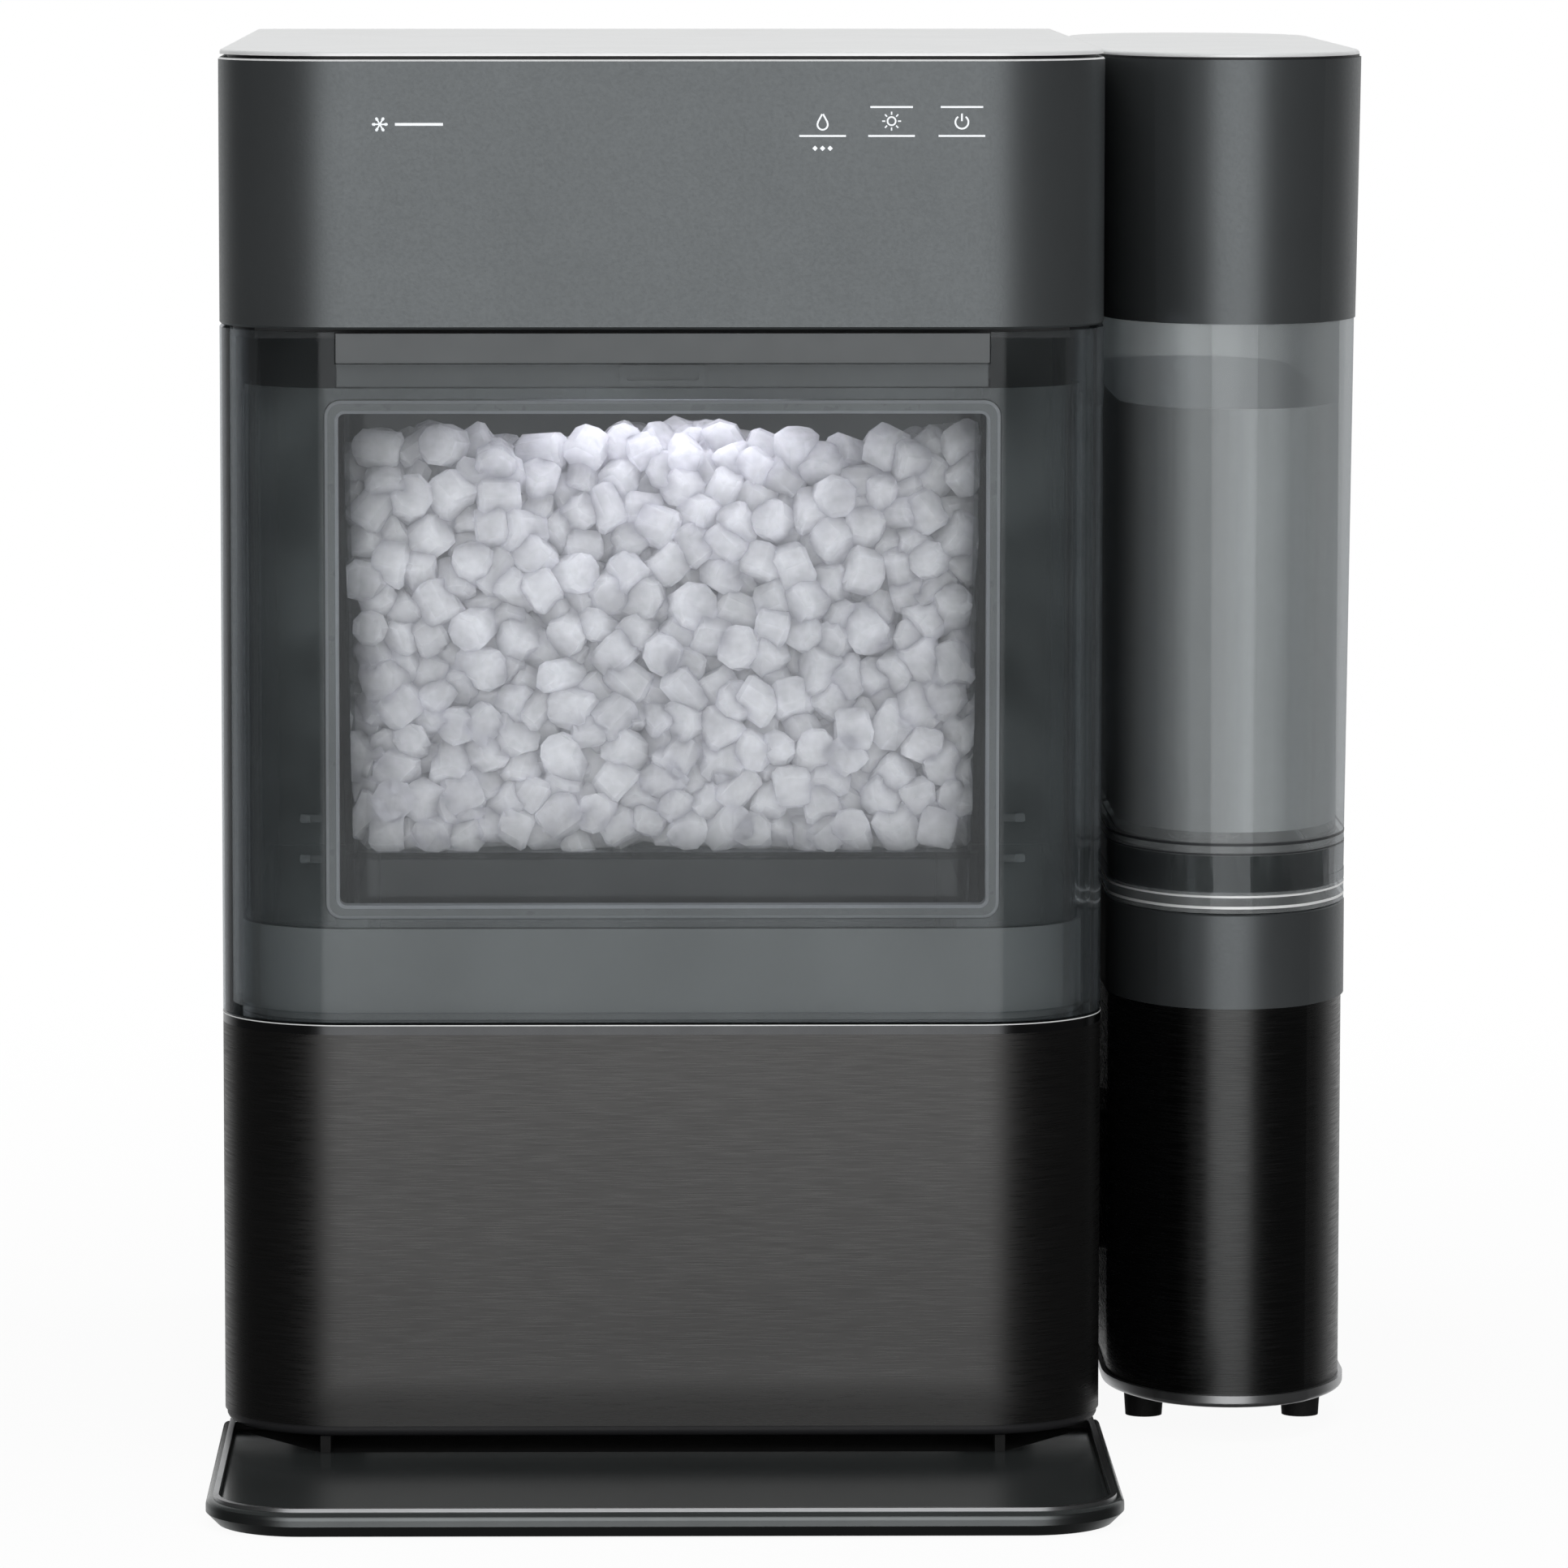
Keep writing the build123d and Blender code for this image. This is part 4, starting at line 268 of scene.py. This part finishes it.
OWN_FINISHES = {
    "tank_collar": FINISHES["housing_grey"],
    "bin_grab_bar": surface("bar_moulding", (0.10, 0.108, 0.112), 0.38, spread=0.05, grain=0.006),
    "bin_inner_skin": clear("ribbed_skin", (0.90, 0.91, 0.915), (0.50, 0.53, 0.54), 0.08, shine=1.35,
                            haze=0.21, haze_colour=(0.22, 0.24, 0.245)),
    "window_gasket": surface("seal_face", (0.13, 0.14, 0.145), 0.30, spread=0.04, grain=0.006),
    "tank_bottom_rim": surface("bright_rim", (0.60, 0.61, 0.62), 0.32, metal=1.0, spread=0.03,
                               grain=0.006, rough_spread=0.02),
    "drip_tray": surface("tray_gloss", (0.080, 0.088, 0.088), 0.16, metal=0.6, spread=0.06,
                         rough_spread=0.03, depth=0.000004),
    "tank_sleeve": brushed("sleeve_steel", (0.072, 0.073, 0.073), 0.26, 0.08),
    # The tank wall's haze runs in upright bands: painted refraction.
    "tank_shell": clear("tank_wall", (0.88, 0.895, 0.90), (0.46, 0.485, 0.49), 0.05, gloss_limit=0.25,
                        haze=0.27, haze_colour=(0.47, 0.49, 0.495), haze_stretch=PAINTED_REFRACTION_BANDS,
                        haze_patch=0.014),
}
OWN_FINISHES["tray_trim"] = OWN_FINISHES["tank_bottom_rim"]
for piece, slot_name in SLOTS.items():
    NODES[piece].data.materials.clear()
    NODES[piece].data.materials.append(OWN_FINISHES.get(piece, FINISHES[slot_name]))


def face_spot(piece, face):
    """Middle of a piece's face in the frame."""
    return NODES[piece].matrix_world @ face.center


# The tray is satin outside and gloss inside; all of it under the body, guides included, is near-black
# matt: painted shade under the body.
tray = NODES["drip_tray"].data
tray_mid = sum(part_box("drip_tray"), Vector()) / 2
TRAY_OUTSIDE, TRAY_UNDER_BODY_SHADE = 1, 2         # slots after the gloss finish
tray.materials.append(surface("tray_satin", (0.19, 0.202, 0.204), 0.34, metal=1.0, spread=0.03,
                              grain=0.006, rough_spread=0.02))
tray.materials.append(surface("under_body_painted_shade", (0.010, 0.010, 0.010), 0.75, spread=0.04, grain=0.004))
for face in tray.polygons:
    spot = face_spot("drip_tray", face)
    if spot.y > FRONT_Y - 0.002:
        face.material_index = TRAY_UNDER_BODY_SHADE
    elif face.normal.z < 0.5 and face.normal.xy.dot((spot - tray_mid).xy) > 0.0:
        face.material_index = TRAY_OUTSIDE

# The cover's lip, in the gap under it, is painted black: painted shade.
COVER_GAP = 0.0011
cover = NODES["top_cover"].data
cover.materials.append(FINISHES["black_plastic"])
for face in cover.polygons:
    if face_spot("top_cover", face).z < HOUSING_HI.z + COVER_GAP and abs(face.normal.z) < 0.5:
        face.material_index = 1

# Thin chamfers and the window seal's rims get a paler finish, painted highlights: finish, lowest and
# highest slope.
for piece, painted_highlight, low, high in (("control_housing", FINISHES["cover_pale"], 0.3, 0.95),
                                 ("tank_head", FINISHES["cover_pale"], 0.3, 0.95),
                                 ("window_gasket", FINISHES["gasket_grey"], -2.0, 2.0)):
    mesh = NODES[piece].data
    mesh.materials.append(painted_highlight)
    for face in mesh.polygons:
        if low < face.normal.z < high and face.normal.y > -0.95:
            face.material_index = 1


# ---------------------------------------------------------------- mesh helpers
def make_piece(name, bm, material, body, smooth=True):
    """A finished piece from bmesh geometry placed in the frame."""
    mesh = bpy.data.meshes.new(name)
    bm.to_mesh(mesh)
    bm.free()
    mesh.materials.append(material)
    mesh.polygons.foreach_set("use_smooth", [smooth] * len(mesh.polygons))
    piece = bpy.data.objects.new(name, mesh)
    bpy.context.scene.collection.objects.link(piece)
    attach(piece, body)
    return piece


def only_verts(items):
    """The vertices among the items a bmesh operator gives back."""
    return [item for item in items if isinstance(item, bmesh.types.BMVert)]


def edge_line(node, name, body, low, height, material):
    """A thin line round a piece, from low up by height, lifted off its upright faces."""
    bm = bmesh.new()
    bm.from_mesh(NODES[node].data)
    bm.transform(NODES[node].matrix_world)
    spare = [face for face in bm.faces if abs(face.normal.z) > 0.5]
    bmesh.ops.delete(bm, geom=spare, context="FACES")
    for level, way in ((low, -1.0), (low + height, 1.0)):
        bmesh.ops.bisect_plane(bm, geom=bm.verts[:] + bm.edges[:] + bm.faces[:],
                               plane_co=(0.0, 0.0, level), plane_no=(0.0, 0.0, way),
                               clear_outer=True)
    bmesh.ops.solidify(bm, geom=bm.faces[:], thickness=-LINE_PROUD)
    make_piece(name, bm, material, body, False)


LINE_PROUD = 0.00008    # how far a line stands off the piece it runs round
LID_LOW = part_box("tank_head")[1].z
TRIM_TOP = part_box("trim_band")[1].z
COLLAR_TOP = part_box("tank_collar")[1].z
# A black line round the lid's foot, where it meets the head: painted shade of the joint.
edge_line("tank_lid", "lid_joint_painted_shade", "lid", LID_LOW, 0.0008, FINISHES["black_plastic"])
# A pale line along the trim band's top edge: painted highlight.
edge_line("trim_band", "band_edge_painted_highlight", "base", TRIM_TOP - 0.0008, 0.0008,
          FINISHES["cover_pale"])
# Lines at the clear tank's foot, pale ones for painted highlights on its flange and dark ones for
# painted shade at the tank floor's edges: name, rise over the collar, height, finish.
for ring, rise, height, ring_finish in (("foot_ring_painted_highlight_low", 0.0016, 0.0008, "cover_pale"),
                                        ("foot_ring_painted_highlight_high", 0.0050, 0.0006, "cover_pale"),
                                        ("floor_line_painted_shade_low", 0.0178, 0.0005, "side_skin"),
                                        ("floor_line_painted_shade_high", 0.0206, 0.0008, "side_skin")):
    edge_line("tank_shell", ring, "water_tank", COLLAR_TOP + rise, height,
              FINISHES[ring_finish])
SHADED_WALL = clear("shaded_wall", (0.66, 0.68, 0.68), (0.46, 0.48, 0.48), 0.05, gloss_limit=0.3,
                    haze=0.05)
edge_line("tank_shell", "foot_shade", "water_tank", COLLAR_TOP + 0.0066, 0.0110,
          SHADED_WALL)

# ---------------------------------------------------------------- ice
NUGGET_R = 0.0062       # radius of a nugget
NUGGET_L = 0.0132       # its length
NUGGET_SIDES = 9
NUGGET_KINDS = 9
NUGGET_STEP = 0.0070    # least distance between two nuggets
NUGGET_TRIES = 90000
BUCKET_WALL = 0.0022
BUCKET_DRAFT = math.radians(1.2)
BUCKET_FLOOR = 0.0195   # from the bucket's foot up to where the ice lies
HEAP_TOP = 0.3045       # level of the heap at the window
HEAP_FALL = 0.13        # how steeply it falls towards the back
FRONT_LAYER = 0.015     # depth of loose nuggets behind the window
SIDE_LAYER = 0.006
TOP_LAYER = 0.008

bucket_lo, bucket_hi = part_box("ice_bucket")
ice_floor = bucket_lo.z + BUCKET_FLOOR
rng = random.Random(11)
noise.seed_set(11)      # the same ice at each run


def bucket_room(z, gap=0.0):
    """Lowest and highest x and y inside the bucket at a level."""
    shy = BUCKET_WALL + gap + (bucket_hi.z - z) * math.tan(BUCKET_DRAFT)
    return bucket_lo.x + shy, bucket_hi.x - shy, bucket_lo.y + shy, bucket_hi.y - shy


def heap_level(x, y):
    """Top of the heap, uneven and falling towards the back."""
    bump = noise.noise(Vector((x * 28.0, y * 28.0, 0.5))) * 0.005
    return HEAP_TOP + bump - (y - bucket_lo.y) * HEAP_FALL


def heap_face(x, z):
    """How far the heap stands back from the bucket's front: most at its top, under the lamp."""
    away = (x - MID_X) / 0.065
    lit = math.exp(-away * away)
    rise = (z - ice_floor) / (HEAP_TOP - ice_floor)
    return rise * rise * (0.006 + 0.020 * lit)


def nugget_shape(kind):
    """A short worn rod of ice about the origin."""
    bm = bmesh.new()
    length = NUGGET_L * rng.uniform(0.75, 1.2)
    width = NUGGET_R * rng.uniform(0.85, 1.2)
    bmesh.ops.create_cone(bm, cap_ends=True, segments=NUGGET_SIDES, radius1=width,
                          radius2=width * rng.uniform(0.85, 1.05), depth=length)
    ends = [edge for edge in bm.edges
            if abs(edge.verts[0].co.z - edge.verts[1].co.z) < length / 2]
    bmesh.ops.bevel(bm, geom=ends, offset=0.0014, segments=1, profile=0.5, affect="EDGES",
                    material=-1)
    for vert in bm.verts:
        vert.co += noise.noise_vector(vert.co * 190.0 + Vector((kind * 9.1, 0.0, 0.0))) * 0.0011
    mesh = bpy.data.meshes.new("nugget_shape")
    bm.to_mesh(mesh)
    bm.free()
    return mesh


def loose_places():
    """Places for nuggets in the layers that show, no two too near each other."""
    cells = {}
    places = []
    for _ in range(NUGGET_TRIES):
        z = rng.uniform(ice_floor + 0.003, HEAP_TOP + 0.006)
        x0, x1, y0, y1 = bucket_room(z, 0.003)
        x = rng.uniform(x0, x1)
        y = rng.uniform(y0, y1)
        back = y - y0 - heap_face(x, z)
        under = heap_level(x, y) - z
        if back < 0.0 or under < 0.0:
            continue
        aside = min(x - x0, x1 - x, y1 - y)
        if back > FRONT_LAYER and aside > SIDE_LAYER and under > TOP_LAYER:
            continue
        place = Vector((x, y, z))
        cell = tuple(int(c // NUGGET_STEP) for c in place)
        near = [other for i in (-1, 0, 1) for j in (-1, 0, 1) for k in (-1, 0, 1)
                for other in cells.get((cell[0] + i, cell[1] + j, cell[2] + k), ())]
        if any((place - other).length < NUGGET_STEP for other in near):
            continue
        cells.setdefault(cell, []).append(place)
        places.append(place)
    return places


def ice_heap():
    """All loose nuggets in one piece, pressed flat where they meet the bucket."""
    shapes = [nugget_shape(kind) for kind in range(NUGGET_KINDS)]
    bm = bmesh.new()
    for place in loose_places():
        copy = rng.choice(shapes).copy()
        turn = Matrix.Rotation(rng.uniform(0.0, math.tau), 4, "Z")
        tip = Matrix.Rotation(rng.uniform(0.3, 1.0) * math.pi / 2, 4, "X")
        spin = Matrix.Rotation(rng.uniform(0.0, math.tau), 4, "Z")
        copy.transform(Matrix.Translation(place) @ turn @ tip @ spin)
        tone = rng.choice((0, 0, 1, 1, 2))
        copy.polygons.foreach_set("material_index", [tone] * len(copy.polygons))
        bm.from_mesh(copy)
        bpy.data.meshes.remove(copy)
    for vert in bm.verts:
        x0, x1, y0, y1 = bucket_room(vert.co.z, 0.0004)
        vert.co.x = min(max(vert.co.x, x0), x1)
        vert.co.y = min(max(vert.co.y, y0), y1)
        vert.co.z = max(vert.co.z, ice_floor)
    for shape in shapes:
        bpy.data.meshes.remove(shape)
    return bm


def ice_core():
    """The heap's frozen-together middle, under the loose nuggets."""
    x0, x1, y0, y1 = bucket_room(ice_floor, 0.0)
    low = Vector((x0 + 0.004, y0 + FRONT_LAYER - 0.008, ice_floor + 0.0005))
    high = Vector((x1 - 0.006, y1 - 0.006, HEAP_TOP - TOP_LAYER))
    bm = bmesh.new()
    bmesh.ops.create_cube(bm, size=1.0)
    bmesh.ops.scale(bm, verts=bm.verts, vec=high - low)
    bmesh.ops.translate(bm, verts=bm.verts, vec=(low + high) / 2)
    bmesh.ops.subdivide_edges(bm, edges=bm.edges[:], cuts=23, use_grid_fill=True)
    for vert in bm.verts:
        depth = (vert.co.y - low.y) / (high.y - low.y)
        vert.co.y += heap_face(vert.co.x, vert.co.z) * (1.0 - depth)
        vert.co.z -= (vert.co.z - low.z) * depth * 0.24
        vert.co += noise.noise_vector(vert.co * 95.0) * 0.004
        vert.co.z = max(vert.co.z, ice_floor + 0.0005)
    return bm


def ice_material(name, colour, rough):
    """Cloudy ice: light scatters in it and passes through, under a frosted, cracked skin."""
    material, output = new_material(name)
    cloud = speckle(material, 0.006, detail=2.0)
    frost = speckle(material, 0.0022, detail=4.0)
    tone = two_tone(material, cloud, colour, 0.07)
    body = add_node(material, "ShaderNodeBsdfPrincipled", Base_Color=tone,
                    Roughness=between(material, cloud, rough - 0.08, rough + 0.12),
                    Normal=relief(material, frost, 0.0006, 0.8), IOR=1.31, Subsurface_Weight=1.0,
                    Subsurface_Scale=0.022, Subsurface_Radius=(0.95, 0.97, 1.0))
    through = add_node(material, "ShaderNodeBsdfTranslucent", Color=tone)
    cloudy = blend(material, between(material, cloud, 0.32, 0.48), body, through)
    see = add_node(material, "ShaderNodeBsdfTransparent", Color=rgba((0.95, 0.95, 0.96)))
    return finish(material, output, blend(material, between(material, cloud, 0.70, 0.86), see, cloudy))


ICE_TONES = (ice_material("ice_white", (0.92, 0.915, 0.94), 0.30),
             ice_material("ice_cloudy", (0.90, 0.895, 0.92), 0.22),
             ice_material("ice_clearer", (0.86, 0.855, 0.88), 0.16))
nuggets = make_piece("ice_nuggets", ice_heap(), ICE_TONES[0], "ice_bin", False)
for tone in ICE_TONES[1:]:
    nuggets.data.materials.append(tone)
make_piece("ice_core", ice_core(), ICE_TONES[0], "ice_bin")

# ---------------------------------------------------------------- water in the tank
TANK_LO, TANK_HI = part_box("tank_head")
TANK_MID = (TANK_LO + TANK_HI) / 2
NOSE_TIP_R = 0.032      # the tank's oval plan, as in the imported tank
NOSE_SIDE_R = 0.069
WATER_INSET = 0.0061
WATER_LOW = COLLAR_TOP + 0.0245
WATER_LINE = 0.3115


def water_body():
    """The water, an oval block that fills the tank up to its line."""
    half_w = (TANK_HI.x - TANK_LO.x) / 2
    across = NOSE_SIDE_R - half_w
    apart = NOSE_SIDE_R - NOSE_TIP_R
    turn = math.acos(across / apart)
    tip = (TANK_HI.y - TANK_LO.y) / 2 - NOSE_TIP_R
    start = tip - apart * math.sin(turn)
    bm = bmesh.new()
    end = bmesh.ops.create_vert(bm, co=(half_w - WATER_INSET, start, WATER_LOW))["vert"]
    for x, y, angle, steps in ((-across, start, turn, 8), (0.0, tip, math.pi - 2 * turn, 16),
                               (across, start, turn, 8)):
        swept = bmesh.ops.spin(bm, geom=end, cent=(x, y, WATER_LOW), axis=(0.0, 0.0, 1.0),
                               angle=angle, steps=steps, use_merge=False, use_duplicate=False)
        end = only_verts(swept["geom_last"])
    bmesh.ops.remove_doubles(bm, verts=bm.verts, dist=1e-6)
    half = bmesh.ops.duplicate(bm, geom=bm.verts[:] + bm.edges[:])
    bmesh.ops.rotate(bm, verts=only_verts(half["geom"]), cent=(0.0, 0.0, WATER_LOW),
                     matrix=Matrix.Rotation(math.pi, 3, "Z"))
    loose = sorted((vert for vert in bm.verts if len(vert.link_edges) == 1),
                   key=lambda vert: vert.co.x)
    bm.edges.new(loose[:2])
    bm.edges.new(loose[2:])
    bmesh.ops.contextual_create(bm, geom=bm.edges[:])
    raised = bmesh.ops.extrude_face_region(bm, geom=bm.faces[:])
    bmesh.ops.translate(bm, verts=only_verts(raised["geom"]),
                        vec=(0.0, 0.0, WATER_LINE - WATER_LOW))
    bmesh.ops.translate(bm, verts=bm.verts, vec=(TANK_MID.x, TANK_MID.y, 0.0))
    bmesh.ops.recalc_face_normals(bm, faces=bm.faces)
    return bm


# The water is a pale haze in upright bands: painted light seen through the tank, and painted
# refraction.
STILL_WATER = clear("still_water", (0.97, 0.98, 0.985), (0.93, 0.95, 0.96), 0.03, 1.15,
                    gloss_limit=0.10, haze=0.80, haze_colour=(0.93, 0.95, 0.955),
                    haze_stretch=PAINTED_REFRACTION_BANDS, haze_patch=0.012)
# The water's top has a dark haze: painted shade of the band at the water line.
WATER_TOP_PAINTED_SHADE = clear("water_surface_painted_shade", (0.35, 0.38, 0.40), (0.25, 0.28, 0.30), 0.03, 1.33,
                  gloss_limit=0.7, haze=0.50, haze_colour=(0.07, 0.08, 0.085))
water = make_piece("tank_water", water_body(), STILL_WATER, "water_tank", False)
water.data.materials.append(WATER_TOP_PAINTED_SHADE)
for face in water.data.polygons:
    if face.normal.z > 0.9:
        face.material_index = 1

# ---------------------------------------------------------------- lit marks on the housing
MARK_T = 0.00012        # thickness of a printed mark


def at_mark(x, z):
    """A point on the housing's front, x from its middle, in millimetres."""
    return Vector((MID_X + x * MM, FRONT_Y + MARK_T / 2, z * MM))


def arc_mark(bm, x, z, radius, width, start, sweep, steps=24):
    """A curved stroke: start and sweep in degrees from the right, anticlockwise."""
    middle = at_mark(x, z)
    ends = []
    for reach in (radius - width / 2, radius + width / 2):
        ends += bmesh.ops.create_vert(bm, co=middle + Vector((reach * MM, 0.0, 0.0)))["vert"]
    edge = bm.edges.new(ends)
    bmesh.ops.rotate(bm, verts=ends, cent=middle,
                     matrix=Matrix.Rotation(-math.radians(start), 3, "Y"))
    bmesh.ops.spin(bm, geom=ends + [edge], cent=middle, axis=(0.0, -1.0, 0.0),
                   angle=math.radians(sweep), steps=steps)


def bar_mark(bm, x, z, width, height, turn=0.0):
    """A straight stroke about its middle, turned anticlockwise by degrees."""
    made = bmesh.ops.create_grid(bm, x_segments=1, y_segments=1, size=0.5)["verts"]
    upright = Matrix.Rotation(math.pi / 2, 3, "X")
    turned = Matrix.Rotation(-math.radians(turn), 3, "Y")
    bmesh.ops.scale(bm, verts=made, vec=(width * MM, height * MM, 1.0))
    bmesh.ops.rotate(bm, verts=made, cent=(0.0, 0.0, 0.0), matrix=turned @ upright)
    bmesh.ops.translate(bm, verts=made, vec=at_mark(x, z))


def raise_marks(bm):
    """Gives flat strokes their thickness, proud of the housing."""
    bmesh.ops.remove_doubles(bm, verts=bm.verts, dist=1e-7)
    raised = bmesh.ops.extrude_face_region(bm, geom=bm.faces[:])
    bmesh.ops.translate(bm, verts=only_verts(raised["geom"]), vec=(0.0, -MARK_T, 0.0))
    bmesh.ops.recalc_face_normals(bm, faces=bm.faces)
    return bm


KEY_Z = 398.4           # level of the key signs; all marks are measured in millimetres
KEY_XS = (46.6, 66.7, 87.2)
KEY_BAR_W = 13.6
KEY_BAR_H = 0.55
ICE_SIGN_X = -82.4
ICE_SIGN_Z = KEY_Z - 0.6


def drop_key(bm, x, z):
    """Rinse key: a water drop."""
    arc_mark(bm, x, z - 0.7, 1.5, 0.5, 150.0, 240.0)
    bar_mark(bm, x - 0.75, z + 1.2, 0.5, 2.6, -28.0)
    bar_mark(bm, x + 0.75, z + 1.2, 0.5, 2.6, 28.0)


def lamp_key(bm, x, z):
    """Lamp key: a lamp with rays."""
    arc_mark(bm, x, z + 0.3, 1.2, 0.45, 0.0, 360.0)
    for turn in range(0, 360, 45):
        way = math.radians(turn)
        bar_mark(bm, x + 2.3 * math.cos(way), z + 0.3 + 2.3 * math.sin(way), 0.9, 0.4, turn)


def power_key(bm, x, z):
    """Power key: an open ring with a stroke."""
    arc_mark(bm, x, z, 1.9, 0.5, 125.0, 290.0)
    bar_mark(bm, x, z + 1.4, 0.5, 2.2)


def ice_sign(bm, x, z):
    """Ice-making sign: a six-armed crystal."""
    for turn in (0, 60, 120):
        bar_mark(bm, x, z, 4.6, 0.42, turn)
    for turn in range(0, 360, 60):
        way = math.radians(turn)
        for side in (-50.0, 50.0):
            bar_mark(bm, x + 1.75 * math.cos(way), z + 1.75 * math.sin(way), 0.95, 0.36, turn + side)


bm = bmesh.new()
for key, key_x in zip((drop_key, lamp_key, power_key), KEY_XS):
    key(bm, key_x, KEY_Z)
for key_x in KEY_XS:
    bar_mark(bm, key_x, KEY_Z - 4.0, KEY_BAR_W, KEY_BAR_H)
for key_x in KEY_XS[1:]:
    bar_mark(bm, key_x, KEY_Z + 4.4, KEY_BAR_W - 1.2, KEY_BAR_H)
for dot in (-2.2, 0.0, 2.2):
    bar_mark(bm, KEY_XS[0] + dot, KEY_Z - 7.6, 1.1, 1.1, 45.0)
ice_sign(bm, ICE_SIGN_X, ICE_SIGN_Z)
bar_mark(bm, ICE_SIGN_X + 11.4, ICE_SIGN_Z, 14.0, 0.8)
LIT_MARK = surface("lit_mark", (0.86, 0.88, 0.90), 0.40, spread=0.02, depth=0.000002,
                   Emission_Color=(0.9, 0.95, 1.0, 1.0), Emission_Strength=0.25)
make_piece("key_marks", raise_marks(bm), LIT_MARK, "base", False)

# ---------------------------------------------------------------- camera, floor, lamps
CAM_ASIDE = -0.020594   # from the middle of the body
CAM_AWAY = 2.60079      # from its front
CAM_HEIGHT = 0.47597
CAM_PITCH = 0.108898    # how far it looks down, in radians
CAM_TURN = -0.01005
cam_data = bpy.data.cameras.new("view")
camera = bpy.data.objects.new("view", cam_data)
bpy.context.scene.collection.objects.link(camera)
camera.location = (MID_X + CAM_ASIDE, FRONT_Y - CAM_AWAY, CAM_HEIGHT)
camera.rotation_euler = (math.pi / 2 - CAM_PITCH, 0.0, CAM_TURN)
cam_data.lens = 204.42
cam_data.shift_x = 0.06522
cam_data.shift_y = 0.02795
cam_data.clip_start = 0.1
cam_data.clip_end = 60.0
bpy.context.scene.camera = camera
bpy.context.scene.view_settings.view_transform = "Standard"


def floor_material():
    """Pale floor: a soft shadow, and plain white where the camera looks past it."""
    material, output = new_material("pale_floor")
    matt = add_node(material, "ShaderNodeBsdfDiffuse",
                    Color=two_tone(material, speckle(material, 0.4), (0.86, 0.86, 0.86), 0.01))
    glow = add_node(material, "ShaderNodeEmission")
    where = add_node(material, "ShaderNodeTexCoord")
    away = add_node(material, "ShaderNodeVectorMath")
    away.operation = "LENGTH"
    feed(material, where.outputs["Object"], away.inputs[0])
    white = smooth_step(material, away.outputs["Value"], 0.15, 1.1, 0.94, 1.0)
    path = add_node(material, "ShaderNodeLightPath")
    share = maths(material, "MULTIPLY", path.outputs["Is Camera Ray"], white)
    return finish(material, output, blend(material, share, matt, glow))


FLOOR_REACH = 6.0
FLOOR_DROP = 0.0002     # under the feet
bm = bmesh.new()
bmesh.ops.create_grid(bm, x_segments=2, y_segments=2, size=FLOOR_REACH)
bmesh.ops.translate(bm, verts=bm.verts, vec=(0.0, 0.0, CAD_BOX[0].z - FLOOR_DROP))
floor_mesh = bpy.data.meshes.new("floor")
bm.to_mesh(floor_mesh)
bm.free()
floor_mesh.materials.append(floor_material())
floor = bpy.data.objects.new("floor", floor_mesh)
bpy.context.scene.collection.objects.link(floor)
floor.visible_glossy = False

# The studio: even fill, white to the eye, and for reflections dark in front, light behind.
world = bpy.data.worlds.new("studio")
bpy.context.scene.world = world
world.use_nodes = True
world.node_tree.nodes.clear()
path = add_node(world, "ShaderNodeLightPath")
coords = add_node(world, "ShaderNodeTexCoord")
split = add_node(world, "ShaderNodeSeparateXYZ", Vector=coords.outputs["Generated"])
fill = add_node(world, "ShaderNodeBackground", Strength=0.42)
mirrored = add_node(world, "ShaderNodeBackground",
                    Strength=smooth_step(world, split.outputs["Y"], 0.50, 0.95, 0.05, 0.90))
white = add_node(world, "ShaderNodeBackground", Color=(1.0, 1.0, 1.0, 1.0))
seen = maths(world, "MAXIMUM", path.outputs["Is Camera Ray"], path.outputs["Is Transmission Ray"])
light = blend(world, path.outputs["Is Glossy Ray"], fill, mirrored)
finish(world, add_node(world, "ShaderNodeOutputWorld"), blend(world, seen, light, white))


def soft_lamp(name, place, target, size, power, glossy=False, spread=math.pi,
              colour=(1.0, 1.0, 1.0)):
    """A rectangular lamp, size wide and high, that faces target."""
    data = bpy.data.lights.new(name, "AREA")
    data.shape = "RECTANGLE"
    data.size, data.size_y = size
    data.energy = power
    data.spread = spread
    data.color = colour
    lamp = bpy.data.objects.new(name, data)
    lamp.location = place
    lamp.rotation_euler = (Vector(target) - Vector(place)).to_track_quat("-Z", "Y").to_euler()
    lamp.visible_camera = False
    lamp.visible_glossy = glossy
    bpy.context.scene.collection.objects.link(lamp)


LENS_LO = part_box("bay_lamp")[0]
WINDOW_Z = 0.245        # middle of the ice window
soft_lamp("front_card", (MID_X, FRONT_Y - 3.2, 0.9), (MID_X, FRONT_Y, 0.2), (3.4, 3.2), 46.0,
          glossy=True)
soft_lamp("tank_card", (TANK_MID.x + 0.55, FRONT_Y - 1.0, 0.45), (TANK_MID.x, TANK_MID.y, 0.26),
          (0.5, 0.5), 1.7)
soft_lamp("top_card", (MID_X, 0.1, 2.2), (MID_X, 0.0, 0.3), (2.4, 2.0), 26.0)
soft_lamp("bin_lamp", (MID_X, LENS_LO.y + 0.011, LENS_LO.z - 0.002), (MID_X, LENS_LO.y + 0.002, 0.1),
          (0.070, 0.020), 0.045, spread=math.radians(150.0), colour=(0.92, 0.91, 1.0))
soft_lamp("bin_glow", (MID_X, FRONT_Y + 0.009, WINDOW_Z), (MID_X, FRONT_Y + 0.1, WINDOW_Z),
          (0.172, 0.122), 0.135, colour=(1.0, 0.985, 1.0))
